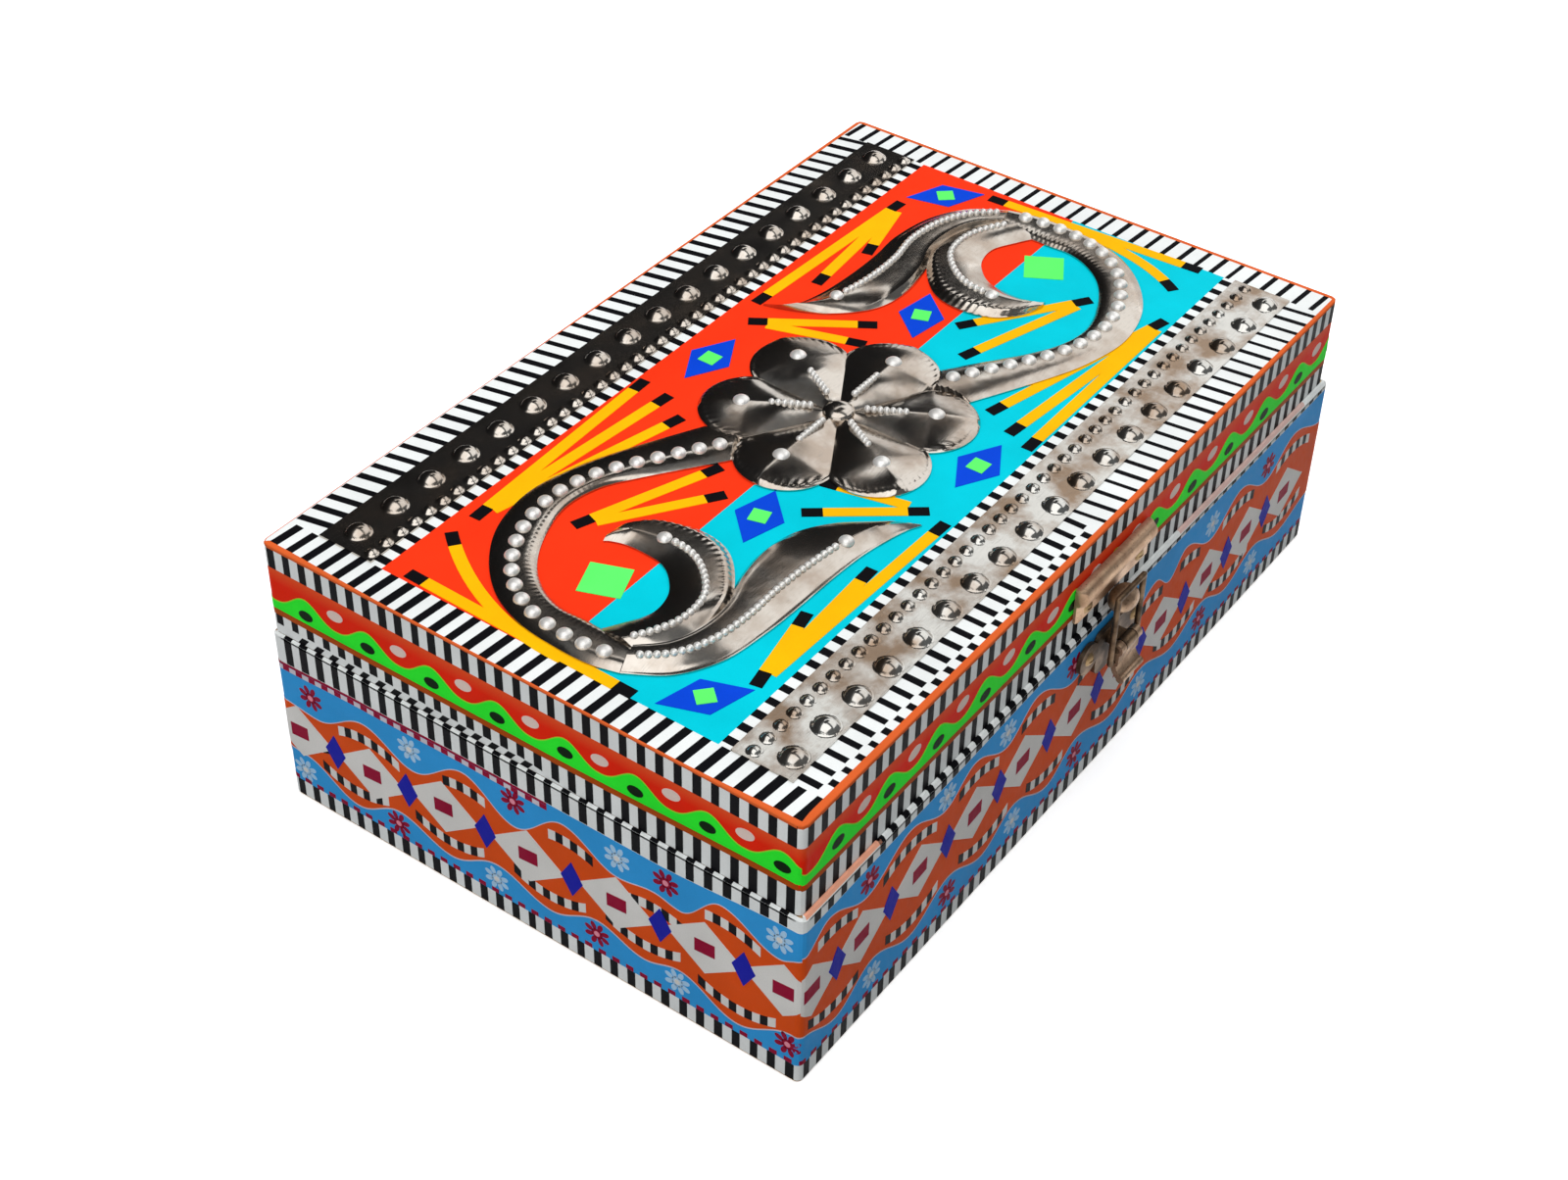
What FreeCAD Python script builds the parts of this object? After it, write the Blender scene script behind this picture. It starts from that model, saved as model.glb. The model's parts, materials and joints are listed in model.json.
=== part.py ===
import FreeCAD, Part
import math
import os

# A hinged wooden storage box clad in cut vinyl, with pressed steel ornaments on its lid.
# Lengths are in millimetres. The origin is the centre of the underside.
# X runs along the length, Y from the latch side to the hinge side, Z up.

# Wooden carcass
BASE_LENGTH = 250.0
BASE_WIDTH = 158.0
BASE_HEIGHT = 54.0
LID_HEIGHT = 27.0
BASE_WALL = 8.0
LID_RAIL = 8.0
BOTTOM_PANEL = 6.0
TOP_PANEL = 6.0
UPRIGHT_ROUNDING = 1.5
FRONT_LEDGE = 1.5
END_LEDGE = 1.0
PARTING_GAP = 0.3

# Vinyl: a film on the wood, then up to two layers of cut-outs on the film
FILM = 0.25
LAYER = 0.15
FLOOR_MARGIN = 0.6

# Bands on the base sides, and what is stuck on them
BASE_BOTTOM_TAPE = 5.2
BASE_TOP_TAPE = 5.4
LEDGE_MARGIN = 0.2
RIBBON_DROP = 1.9
RIBBON_HALF = 14.6
RIBBON_SWELL = 3.8
RIBBON_PERIOD = 30.6
DIAMOND_PITCH = 24.6
DIAMOND_HALF_LENGTH = 10.6
DIAMOND_HALF_HEIGHT = 7.6
LINK_HALF_LENGTH = 3.2
LINK_HALF_HEIGHT = 5.6

# Bands on the lid sides, from the top edge down
EDGE_TRIM_DROP = 0.9
LID_UPPER_TAPE = 5.6
LID_BROWN_LINE = 1.5
LID_LOWER_TAPE = 6.9
WAVE_FOOT = 2.4
WAVE_RISE = 4.9
WAVE_PERIOD = 20.4

# Bands on the lid top, from the edge in
EDGE_TRIM_WIDTH = 1.4
BORDER_TAPE = 8.0
STRIP_WIDTH = 16.5
NARROW_TAPE = 3.3

# The motifs on the lid top are drawn on a field of this size, and fitted to the field that the bands leave
DRAWN_LENGTH = 231.2
DRAWN_WIDTH = 99.4
FIELD_SPLIT = -1.25
STICK_WIDTH = 3.2
STICK_END = 5.2
FAN_STICKS = [
    [[(-88.3, 44.8), (-18.7, 47.4)], [(-88.3, 44.6), (-20.2, 38.3)], [(-88.3, 44.4), (-25.8, 29.9)]],
    [[(-114.3, -25.1), (-113.8, 8.0), (-113.0, 43.6)],
     [(-114.2, -10.0), (-112.0, 15.5), (-106.9, 28.6), (-95.6, 45.7)]],
    [[(-76.1, 23.9), (-36.3, 9.4)], [(-76.1, 23.5), (-44.5, 1.8)]],
    [[(-20.0, -41.7), (-39.1, -17.0)], [(-20.0, -41.7), (-26.5, -13.2)]],
    [[(-95.8, -45.1), (-68.5, -39.8)], [(-95.8, -45.2), (-46.4, -42.9)], [(-95.8, -45.3), (-21.5, -47.4)]],
    [[(94.1, 43.2), (27.4, 45.9)], [(94.1, 43.0), (44.9, 38.2)], [(94.1, 42.8), (65.6, 35.7)]],
    [[(19.1, 42.3), (38.5, 13.6)], [(19.1, 42.3), (29.1, 10.9)]],
    [[(83.6, -26.1), (51.0, -3.7)], [(83.6, -26.1), (39.7, -12.5)]],
    [[(87.0, -47.1), (23.1, -31.6)], [(87.0, -47.2), (18.4, -40.4)], [(87.0, -47.3), (15.5, -47.4)]],
    [[(111.6, 24.2), (113.0, -9.4), (114.5, -42.9)],
     [(111.8, 10.0), (111.6, -8.0), (109.6, -22.5), (101.3, -41.7)]],
]
DIAMONDS = [
    ((-0.8, 39.9), 11.0, 6.1, 0.0), ((-46.4, -9.8), 10.7, 6.4, 15.0), ((-105.3, -38.2), 11.2, 5.9, -42.0),
    ((2.5, -41.5), 10.7, 6.1, 0.0), ((49.4, 6.7), 10.9, 6.2, 21.0), ((104.7, 35.0), 11.2, 5.9, -49.0),
]
DIAMOND_SQUARE = 4.7
LIME_SQUARES = [((-87.4, 4.9), 10.8, 21.0), ((89.5, -7.4), 10.8, 30.0)]

# Pressed steel ornaments on the lid top
ORNAMENT_SHIFT = (-1.1, -1.4)
SHEET = 0.5
BOW = 0.14
STEM_RISE = 2.4
STEM_BEAD_PITCH = 5.4
STEM_BEAD = 1.75
STEM_ROOT = ((-18.0, 20.0), (-25.3, 6.2), 0.60)
STEM_SECTIONS = [
    ((-25.0, 24.3), (-32.3, 10.5), 0.60),
    ((-46.3, 35.0), (-51.3, 24.0), 0.60),
    ((-58.8, 39.8), (-60.6, 29.4), 0.60),
    ((-72.5, 42.1), (-71.0, 31.0), 0.58),
    ((-86.3, 39.4), (-81.9, 28.1), 0.56),
    ((-97.5, 32.5), (-91.9, 22.8), 0.53),
    ((-106.0, 22.8), (-98.4, 15.6), 0.50),
    ((-110.4, 11.9), (-101.6, 8.1), 0.47),
    ((-111.8, 0.0), (-102.2, 0.0), 0.46),
    ((-111.6, -9.4), (-102.0, -7.5), 0.46),
    ((-109.8, -16.9), (-101.8, -14.2), 0.50),
]
LEAF_RISE = 2.9
LEAF_BEAD = 2.0
LEAF_BEAD_SHARE = 0.77
LEAF_SECTIONS = [
    ((-101.6, -14.7), (-109.5, -17.4), 0.45),
    ((-95.6, -20.0), (-103.1, -26.9), 0.45),
    ((-87.5, -22.6), (-92.5, -33.1), 0.42),
    ((-77.5, -22.4), (-78.8, -35.3), 0.40),
    ((-67.5, -18.8), (-66.9, -36.0), 0.50),
    ((-56.3, -17.3), (-54.4, -36.3), 0.58),
    ((-45.0, -19.4), (-43.1, -37.1), 0.60),
    ((-35.6, -26.0), (-34.0, -38.8), 0.56),
    ((-29.4, -34.4), (-28.5, -40.4), 0.50),
    ((-25.6, -40.9), (-25.4, -41.8), 0.50),
]
CURL_SECTIONS = [
    ((-101.3, -13.6), (-101.2, -16.8), 0.50),
    ((-96.9, -10.6), (-95.2, -20.4), 0.55),
    ((-88.8, -11.2), (-85.6, -23.6), 0.55),
    ((-81.3, -8.6), (-73.0, -21.4), 0.52),
    ((-76.5, -3.5), (-63.8, -13.8), 0.50),
    ((-74.3, 3.8), (-59.5, -3.8), 0.48),
    ((-74.4, 10.0), (-60.6, 5.6), 0.48),
    ((-75.5, 13.8), (-65.6, 12.5), 0.48),
    ((-76.6, 15.4), (-73.0, 15.9), 0.50),
]
PETALS = 6
PETAL_REACH = 22.5
PETAL_RADIUS = 13.7
PETAL_CLEARANCE = 0.2
PETAL_RISE = 2.9
PETAL_BEAD = 2.3
PETAL_BEAD_REACH = 25.0
HUB_RADIUS = 10.5
HUB_RISE = 2.6
BOSS_RADIUS = 4.6
BOSS_RISE = 4.4
BACK_STUD_PITCH = 12.7
FRONT_STUD_PITCH = 12.1
STUD_RADIUS = 3.8
STUD_RISE = 2.2
STUD_FROM_EDGE = 6.6
FRONT_ROWS_SHIFT = 2.4
PEARL_PITCH = 5.0
PEARL_RADIUS = 1.5
PEARL_RISE = 1.2
PEARL_FROM_FIELD = 2.0
SINK = 0.1

# Butt hinges on the back
HINGE_FROM_END = 50.0
LEAF_LENGTH = 22.0
LEAF_DEPTH = 14.0
LEAF_PLATE = 1.0
KNUCKLE_RADIUS = 2.2
KNUCKLE_LIFT = 0.3
KNUCKLE_GAP = 0.3
MIDDLE_KNUCKLE = 7.0
PIN_RADIUS = 1.1
RUNNING_CLEARANCE = 0.05
LEAF_SCREW_SPREAD = 12.0
LEAF_SCREW_FROM_EDGE = 4.5

# Toggle latch on the front
LATCH_FROM_MIDDLE = 5.0
STRIKE_LENGTH = 35.0
STRIKE_DEPTH = 10.5
STRIKE_TOP_DROP = 10.2
STRIKE_SCREW_SPREAD = 25.0
STRIKE_SWELL = 2.2
STRIKE_SWELL_HEIGHT = 5.4
LATCH_PLATE = 1.2
PLATE_ROUNDING = 2.8
HOOK_LENGTH = 9.6
HOOK_DROP = 8.85
HOOK_TIP = 2.0
HOOK_NOSE = 2.4
HOOK_ROOT = 6.2
CATCH_DROP = 4.0
CATCH_DEPTH = 13.0
CATCH_LENGTH = 15.0
LOBE_RADIUS = 4.4
CATCH_SCREW_SPREAD = 22.0
LEVER_PIVOT_DROP = 7.6
LEVER_PIVOT_REACH = 5.2
LEVER_THROW = 4.0
OVER_CENTRE = 0.6
LEVER_LENGTH = 10.0
LEVER_BARREL = 1.8
LOOP_BARREL = 1.6
LIP_RADIUS = 5.0
LIP_THICKNESS = 1.5
LIP_TURN = 56.0
LIP_BEAD = 1.1
LUG_LENGTH = 5.0
LUG_WEB = 2.4
LATCH_PIN_RADIUS = 0.9
LATCH_GAP = 0.3
WIRE_RADIUS = 0.8
LOOP_GAP = 0.4
LOOP_STUB = 1.7
BAR_CLEARANCE = 0.15

# Wood screws
SCREW_HEAD_RADIUS = 1.9
SCREW_HEAD_RISE = 0.9
SCREW_SHANK_RADIUS = 0.8
SCREW_LENGTH = 6.5
SCREW_SLOT = 0.45
SCREW_SLOT_DEPTH = 0.35

# Worked out from the driving dimensions
BASE = (-BASE_LENGTH / 2, BASE_LENGTH / 2, -BASE_WIDTH / 2, BASE_WIDTH / 2)
LID = (BASE[0] + END_LEDGE, BASE[1] - END_LEDGE, BASE[2] + FRONT_LEDGE, BASE[3])
LID_BOTTOM = BASE_HEIGHT + PARTING_GAP
LID_TOP = LID_BOTTOM + LID_HEIGHT
BLUE_BOTTOM = FLOOR_MARGIN + BASE_BOTTOM_TAPE
BLUE_TOP = BASE_HEIGHT - BASE_TOP_TAPE
RIBBON_MIDDLE = (BLUE_BOTTOM + BLUE_TOP) / 2 - RIBBON_DROP
HARDWARE_SEAT = FILM + 2 * LAYER
FIELD_MIDDLE = (LID[2] + LID[3]) / 2
FIELD_HALF_LENGTH = LID[1] - EDGE_TRIM_WIDTH - BORDER_TAPE
STRIP_OUTER = (LID[3] - LID[2]) / 2 - EDGE_TRIM_WIDTH - BORDER_TAPE
STRIP_INNER = STRIP_OUTER - STRIP_WIDTH
FIELD_HALF_WIDTH = STRIP_INNER - NARROW_TAPE
STRETCH_X = 2 * FIELD_HALF_LENGTH / DRAWN_LENGTH
STRETCH_Y = 2 * FIELD_HALF_WIDTH / DRAWN_WIDTH
MOTIF_SCALE = min(STRETCH_X, STRETCH_Y)
ORNAMENT_SEAT = LID_TOP + FILM + LAYER
ORNAMENT_MIDDLE = FreeCAD.Vector(ORNAMENT_SHIFT[0], FIELD_MIDDLE + ORNAMENT_SHIFT[1], 0)
UP = FreeCAD.Vector(0, 0, 1)
ORIGIN = FreeCAD.Vector(0, 0, 0)


def vec(x, y, z):
    return FreeCAD.Vector(x, y, z)


def block(x0, x1, y0, y1, z0, z1):
    return Part.makeBox(x1 - x0, y1 - y0, z1 - z0, vec(x0, y0, z0))


def rounded_block(plan, grow, z0, z1):
    """A block over a plan rectangle grown on all sides, with its upright edges rounded."""
    box = block(plan[0] - grow, plan[1] + grow, plan[2] - grow, plan[3] + grow, z0, z1)
    upright = [e for e in box.Edges if abs(e.Vertexes[0].Z - e.Vertexes[1].Z) > (z1 - z0) / 2]
    return box.makeFillet(UPRIGHT_ROUNDING + grow, upright)


def wrap(plan, z0, z1):
    """A film round the four sides of a plan rectangle."""
    return rounded_block(plan, FILM, z0, z1).cut(rounded_block(plan, 0, z0, z1))


def prism(points, z0, height):
    """A straight-sided slab over a polygon of plan points."""
    corners = [vec(p[0], p[1], z0) for p in points]
    face = Part.Face(Part.makePolygon(corners + corners[:1]))
    return face.extrude(vec(0, 0, height))


def dome(at, radius, rise):
    """A spherical cap that stands on a point."""
    ball = (radius ** 2 + rise ** 2) / (2 * rise)
    latitude = math.degrees(math.asin((ball - rise) / ball))
    return Part.makeSphere(ball, at + vec(0, 0, rise - ball), UP, latitude, 90, 360)


def bead(at, radius):
    return dome(at, radius, radius)


def rod(a, b, radius):
    return Part.makeCylinder(radius, a.distanceToPoint(b), a, b - a)


def group(shapes):
    return Part.makeCompound([solid for shape in shapes for solid in shape.Solids])


def half_turned(shape):
    """A copy turned half round about the middle of the ornaments."""
    turned = shape.copy()
    turned.rotate(ORNAMENT_MIDDLE, UP, 180)
    return turned


# Wooden carcass

def base_boards():
    inner = block(BASE[0] + BASE_WALL, BASE[1] - BASE_WALL, BASE[2] + BASE_WALL, BASE[3] - BASE_WALL,
                  BOTTOM_PANEL, BASE_HEIGHT)
    ring = rounded_block(BASE, 0, BOTTOM_PANEL, BASE_HEIGHT).cut(inner)
    names = ("base_front_wall", "base_back_wall", "base_left_wall", "base_right_wall")
    boards = dict(zip(names, four_sides(ring, BASE, BASE_WALL, BOTTOM_PANEL, BASE_HEIGHT)))
    boards["base_bottom_panel"] = rounded_block(BASE, 0, 0, BOTTOM_PANEL)
    return boards


def lid_boards():
    under = LID_TOP - TOP_PANEL
    inner = block(LID[0] + LID_RAIL, LID[1] - LID_RAIL, LID[2] + LID_RAIL, LID[3] - LID_RAIL,
                  LID_BOTTOM, under)
    ring = rounded_block(LID, 0, LID_BOTTOM, under).cut(inner)
    names = ("lid_front_rail", "lid_back_rail", "lid_left_rail", "lid_right_rail")
    boards = dict(zip(names, four_sides(ring, LID, LID_RAIL, LID_BOTTOM, under)))
    boards["lid_top_panel"] = rounded_block(LID, 0, under, LID_TOP)
    return boards


def four_sides(ring, plan, wall, z0, z1):
    """Front and back boards run the full length, and the end boards stand between them."""
    x0, x1, y0, y1 = plan
    yield ring.common(block(x0, x1, y0, y0 + wall, z0, z1))
    yield ring.common(block(x0, x1, y1 - wall, y1, z0, z1))
    yield ring.common(block(x0, x0 + wall, y0 + wall, y1 - wall, z0, z1))
    yield ring.common(block(x1 - wall, x1, y0 + wall, y1 - wall, z0, z1))


# Vinyl on the sides

def on_each_side(plan, make):
    """Shapes made for the front, in its own length from the middle, then set on all four sides."""
    x0, x1, y0, y1 = plan
    middle = vec((x0 + x1) / 2, (y0 + y1) / 2, 0)
    shapes = []
    for turn in range(4):
        length, depth = ((x1 - x0), (y1 - y0)) if turn % 2 == 0 else ((y1 - y0), (x1 - x0))
        shape = make(length / 2 - UPRIGHT_ROUNDING)
        shape.translate(vec(0, -depth / 2, 0))
        shape.rotate(ORIGIN, UP, 90 * turn)
        shape.translate(middle)
        shapes.append(shape)
    return group(shapes)


def side_slab(edges, under):
    """A layer cut to a closed outline on the front plane, standing off by what is under it."""
    face = Part.Face(Part.Wire(edges))
    face.translate(vec(0, -under, 0))
    return face.extrude(vec(0, -LAYER, 0))


def wavy_edge(half, period, height):
    """A smooth curve along the front plane through four points to a period."""
    steps = max(4, 4 * round(2 * half / period))
    places = [-half + 2 * half * k / steps for k in range(steps + 1)]
    curve = Part.BSplineCurve()
    curve.interpolate([vec(s, 0, height(s)) for s in places])
    return curve.toShape()


def line(a, b):
    return Part.LineSegment(a, b).toShape()


def closed_between(lower, upper):
    """The edges of the strip between two curves that run the same way."""
    low_a, low_b = lower.valueAt(lower.FirstParameter), lower.valueAt(lower.LastParameter)
    up_a, up_b = upper.valueAt(upper.FirstParameter), upper.valueAt(upper.LastParameter)
    return [lower, line(low_b, up_b), upper, line(up_a, low_a)]


def ribbon_length(half):
    def swell(s):
        return RIBBON_HALF + RIBBON_SWELL * math.cos(2 * math.pi * s / RIBBON_PERIOD)
    lower = wavy_edge(half, RIBBON_PERIOD, lambda s: RIBBON_MIDDLE - swell(s))
    upper = wavy_edge(half, RIBBON_PERIOD, lambda s: RIBBON_MIDDLE + swell(s))
    return side_slab(closed_between(lower, upper), FILM)


def wave_length(half):
    foot = LID_BOTTOM + LID_LOWER_TAPE + LID_BROWN_LINE

    def crest(s):
        return foot + WAVE_FOOT + WAVE_RISE * (1 + math.cos(2 * math.pi * s / WAVE_PERIOD)) / 2
    lower = line(vec(-half, 0, foot), vec(half, 0, foot))
    upper = wavy_edge(half, WAVE_PERIOD, crest)
    return side_slab(closed_between(lower, upper), FILM)


def lozenge(middle, half_length, half_height):
    tips = [vec(middle - half_length, 0, RIBBON_MIDDLE), vec(middle, 0, RIBBON_MIDDLE - half_height),
            vec(middle + half_length, 0, RIBBON_MIDDLE), vec(middle, 0, RIBBON_MIDDLE + half_height)]
    edges = [line(tips[k], tips[(k + 1) % 4]) for k in range(4)]
    return side_slab(edges, FILM + LAYER)


def diamond_row(half):
    count = int((2 * half - 2 * DIAMOND_HALF_LENGTH) / DIAMOND_PITCH) + 1
    middles = [(k - (count - 1) / 2) * DIAMOND_PITCH for k in range(count)]
    notches = [lozenge(m + DIAMOND_PITCH / 2, LINK_HALF_LENGTH, LINK_HALF_HEIGHT) for m in middles[:-1]]
    return group([lozenge(m, DIAMOND_HALF_LENGTH, DIAMOND_HALF_HEIGHT).cut(group(notches)) for m in middles])


def link_row(half):
    count = int((2 * half - 2 * DIAMOND_HALF_LENGTH) / DIAMOND_PITCH)
    middles = [(k - (count - 1) / 2) * DIAMOND_PITCH for k in range(count)]
    return group([lozenge(m, LINK_HALF_LENGTH, LINK_HALF_HEIGHT) for m in middles])


def base_vinyl():
    ledge = rounded_block(BASE, FILM, BASE_HEIGHT, BASE_HEIGHT + FILM)
    clear = block(LID[0] - FILM - LEDGE_MARGIN, LID[1] + FILM + LEDGE_MARGIN, LID[2] - FILM - LEDGE_MARGIN,
                  BASE[3] + 2 * FILM, BASE_HEIGHT, BASE_HEIGHT + FILM)
    return {
        "base_bottom_striped_tape": wrap(BASE, FLOOR_MARGIN, BLUE_BOTTOM),
        "base_blue_wrap": wrap(BASE, BLUE_BOTTOM, BLUE_TOP),
        "base_top_striped_tape": wrap(BASE, BLUE_TOP, BASE_HEIGHT).fuse(ledge.cut(clear)).removeSplitter(),
        "base_orange_ribbon": on_each_side(BASE, ribbon_length),
        "base_grey_diamonds": on_each_side(BASE, diamond_row),
        "base_blue_links": on_each_side(BASE, link_row),
    }


def lid_side_vinyl():
    line_bottom = LID_BOTTOM + LID_LOWER_TAPE
    red_bottom = line_bottom + LID_BROWN_LINE
    trim_bottom = LID_TOP - EDGE_TRIM_DROP
    red_top = trim_bottom - LID_UPPER_TAPE
    cap = rounded_block(LID, FILM, trim_bottom, LID_TOP + FILM)
    cap = cap.cut(rounded_block(LID, 0, trim_bottom, LID_TOP))
    opening = block(LID[0] + EDGE_TRIM_WIDTH, LID[1] - EDGE_TRIM_WIDTH, LID[2] + EDGE_TRIM_WIDTH,
                    LID[3] - EDGE_TRIM_WIDTH, LID_TOP, LID_TOP + FILM)
    return {
        "lid_lower_striped_tape": wrap(LID, LID_BOTTOM, line_bottom),
        "lid_brown_line": wrap(LID, line_bottom, red_bottom),
        "lid_red_wrap": wrap(LID, red_bottom, red_top),
        "lid_upper_striped_tape": wrap(LID, red_top, trim_bottom),
        "lid_edge_trim": cap.cut(opening),
        "lid_green_wave": on_each_side(LID, wave_length),
    }


# Vinyl on the lid top

def on_field(point):
    return vec(point[0] * STRETCH_X, FIELD_MIDDLE + point[1] * STRETCH_Y, 0)


def top_sheet(x0, x1, y0, y1):
    return block(x0, x1, FIELD_MIDDLE + y0, FIELD_MIDDLE + y1, LID_TOP, LID_TOP + FILM)


def border_tapes():
    outer_x = FIELD_HALF_LENGTH + BORDER_TAPE
    outer_y = STRIP_OUTER + BORDER_TAPE
    return group([top_sheet(-outer_x, -FIELD_HALF_LENGTH, -outer_y, outer_y),
                  top_sheet(FIELD_HALF_LENGTH, outer_x, -outer_y, outer_y),
                  top_sheet(-FIELD_HALF_LENGTH, FIELD_HALF_LENGTH, -outer_y, -STRIP_OUTER),
                  top_sheet(-FIELD_HALF_LENGTH, FIELD_HALF_LENGTH, STRIP_OUTER, outer_y)])


def narrow_tapes():
    return group([top_sheet(-FIELD_HALF_LENGTH, FIELD_HALF_LENGTH, -STRIP_INNER, -FIELD_HALF_WIDTH),
                  top_sheet(-FIELD_HALF_LENGTH, FIELD_HALF_LENGTH, FIELD_HALF_WIDTH, STRIP_INNER)])


def stick_path(points):
    """The middle line of a stick: straight between two points, a smooth curve through more."""
    places = [on_field(p) for p in points]
    curve = Part.BSplineCurve()
    curve.interpolate(places)
    return curve


def stick_slab(path, start, end):
    """The stretch of a stick between two distances along its middle line."""
    edge = path.toShape()
    shares = [start + (end - start) * k / 4 for k in range(5)]
    left, right = [], []
    for distance in shares:
        at = edge.getParameterByLength(distance)
        across = edge.tangentAt(at).cross(UP) * (STICK_WIDTH / 2)
        left.append(edge.valueAt(at) + across)
        right.append(edge.valueAt(at) - across)
    rails = []
    for side in (left, right):
        curve = Part.BSplineCurve()
        curve.interpolate(side)
        rails.append(curve.toShape())
    face = Part.Face(Part.Wire(closed_between(rails[0], rails[1])))
    face.translate(vec(0, 0, LID_TOP + FILM))
    return face.extrude(vec(0, 0, LAYER))


def fans():
    """Yellow fans, each cut in one piece, and the black ends of their sticks."""
    yellow, black = [], []
    for sticks in FAN_STICKS:
        paths = [stick_path(points) for points in sticks]
        ends = [stick_slab(p, p.length() - STICK_END, p.length()) for p in paths]
        ends.append(stick_slab(paths[0], 0, STICK_END))
        bodies = [stick_slab(p, STICK_END, p.length() - STICK_END) for p in paths]
        fan = bodies[0].multiFuse(bodies[1:]).removeSplitter().cut(group(ends))
        yellow.append(fan)
        black += ends
    return group(yellow), group(black)


def turned_slab(point, half_x, half_y, angle, corners, z0):
    """A four-cornered slab about a point of the field, turned by an angle."""
    middle = on_field(point)
    a = math.radians(angle)
    plan = [(middle.x + half_x * u * math.cos(a) - half_y * v * math.sin(a),
             middle.y + half_x * u * math.sin(a) + half_y * v * math.cos(a)) for u, v in corners]
    return prism(plan, z0, LAYER)


def blue_diamonds():
    tips = [(-1, 0), (0, -1), (1, 0), (0, 1)]
    return group([turned_slab(p, hx, hy, angle, tips, LID_TOP + FILM) for p, hx, hy, angle in DIAMONDS])


def lime_squares():
    corners = [(-1, -1), (1, -1), (1, 1), (-1, 1)]
    half = DIAMOND_SQUARE / 2
    slabs = []
    for p, _, _, angle in DIAMONDS:
        slabs.append(turned_slab(p, half, half, angle, corners, LID_TOP + FILM + LAYER))
    for p, side, angle in LIME_SQUARES:
        slabs.append(turned_slab(p, side / 2, side / 2, angle, corners, LID_TOP + FILM))
    return group(slabs)


def lid_top_vinyl():
    yellow, black = fans()
    return {
        "lid_red_sheet": top_sheet(-FIELD_HALF_LENGTH, FIELD_HALF_LENGTH, FIELD_SPLIT, FIELD_HALF_WIDTH),
        "lid_cyan_sheet": top_sheet(-FIELD_HALF_LENGTH, FIELD_HALF_LENGTH, -FIELD_HALF_WIDTH, FIELD_SPLIT),
        "lid_border_tapes": border_tapes(),
        "lid_narrow_tapes": narrow_tapes(),
        "lid_yellow_fans": yellow,
        "lid_black_stick_ends": black,
        "lid_blue_diamonds": blue_diamonds(),
        "lid_lime_squares": lime_squares(),
    }


# Pressed steel on the lid top

def on_ornament(point):
    return ORNAMENT_MIDDLE + vec(point[0] * STRETCH_X, point[1] * STRETCH_Y, 0)


def bowed(a, b):
    """An arc between two points of a section, bowed upward."""
    middle = (a + b) * 0.5 + vec(0, 0, BOW * abs(a.z - b.z))
    return Part.Arc(a, middle, b).toShape()


def gable(section, rise):
    """A pressed section between two edge points, with its ridge part of the way across."""
    outer = on_ornament(section[0]) + vec(0, 0, ORNAMENT_SEAT)
    inner = on_ornament(section[1]) + vec(0, 0, ORNAMENT_SEAT)
    rim = vec(0, 0, SHEET)
    ridge = outer + (inner - outer) * section[2] + vec(0, 0, rise)
    return Part.Wire([line(outer, outer + rim), bowed(outer + rim, ridge), bowed(ridge, inner + rim),
                      line(inner + rim, inner), line(inner, outer)])


def pressed(sections, rise):
    """A pressed ornament through a row of sections, low at a narrow tip."""
    wires = []
    for section in sections:
        width = on_ornament(section[0]).distanceToPoint(on_ornament(section[1]))
        wires.append(gable(section, min(rise, SHEET + width / 3)))
    return Part.makeLoft(wires, True, False)


def ridge(sections):
    """The plan of the ridge of an ornament."""
    edges = [(on_ornament(a), on_ornament(b), share) for a, b, share in sections]
    curve = Part.BSplineCurve()
    curve.interpolate([a + (b - a) * share for a, b, share in edges])
    return curve.toShape()


def on_ridge(edge, share, height):
    """A point part of the way along a ridge, at a height above the seat."""
    return edge.valueAt(edge.getParameterByLength(share * edge.Length)) + vec(0, 0, ORNAMENT_SEAT + height)


def petal_middles():
    """The middles of the rosette's petals, on the seat."""
    middle = ORNAMENT_MIDDLE + vec(0, 0, ORNAMENT_SEAT)
    angles = [2 * math.pi * k / PETALS for k in range(PETALS)]
    return [middle + vec(math.cos(a), math.sin(a), 0) * PETAL_REACH * MOTIF_SCALE for a in angles]


def scroll_stem():
    """A stem with its beads, cut to fit round the petals of the rosette."""
    radius = PETAL_RADIUS * MOTIF_SCALE + PETAL_CLEARANCE
    petals = [Part.makeCylinder(radius, 2 * STEM_RISE, at) for at in petal_middles()]
    stem = pressed([STEM_ROOT] + STEM_SECTIONS, STEM_RISE).cut(group(petals))
    edge = ridge(STEM_SECTIONS)
    steps = round(edge.Length / STEM_BEAD_PITCH)
    points = [on_ridge(edge, k / steps, STEM_RISE - STEM_BEAD / 2) for k in range(steps)]
    return stem.multiFuse([bead(p, STEM_BEAD) for p in points])


def forked_leaf():
    leaf = pressed(LEAF_SECTIONS, LEAF_RISE)
    curl = pressed(CURL_SECTIONS, LEAF_RISE)
    points = [on_ridge(ridge(sections), LEAF_BEAD_SHARE, LEAF_RISE - LEAF_BEAD / 2)
              for sections in (LEAF_SECTIONS, CURL_SECTIONS)]
    beads = [bead(p, LEAF_BEAD) for p in points]
    return leaf.multiFuse([curl] + beads)


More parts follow.
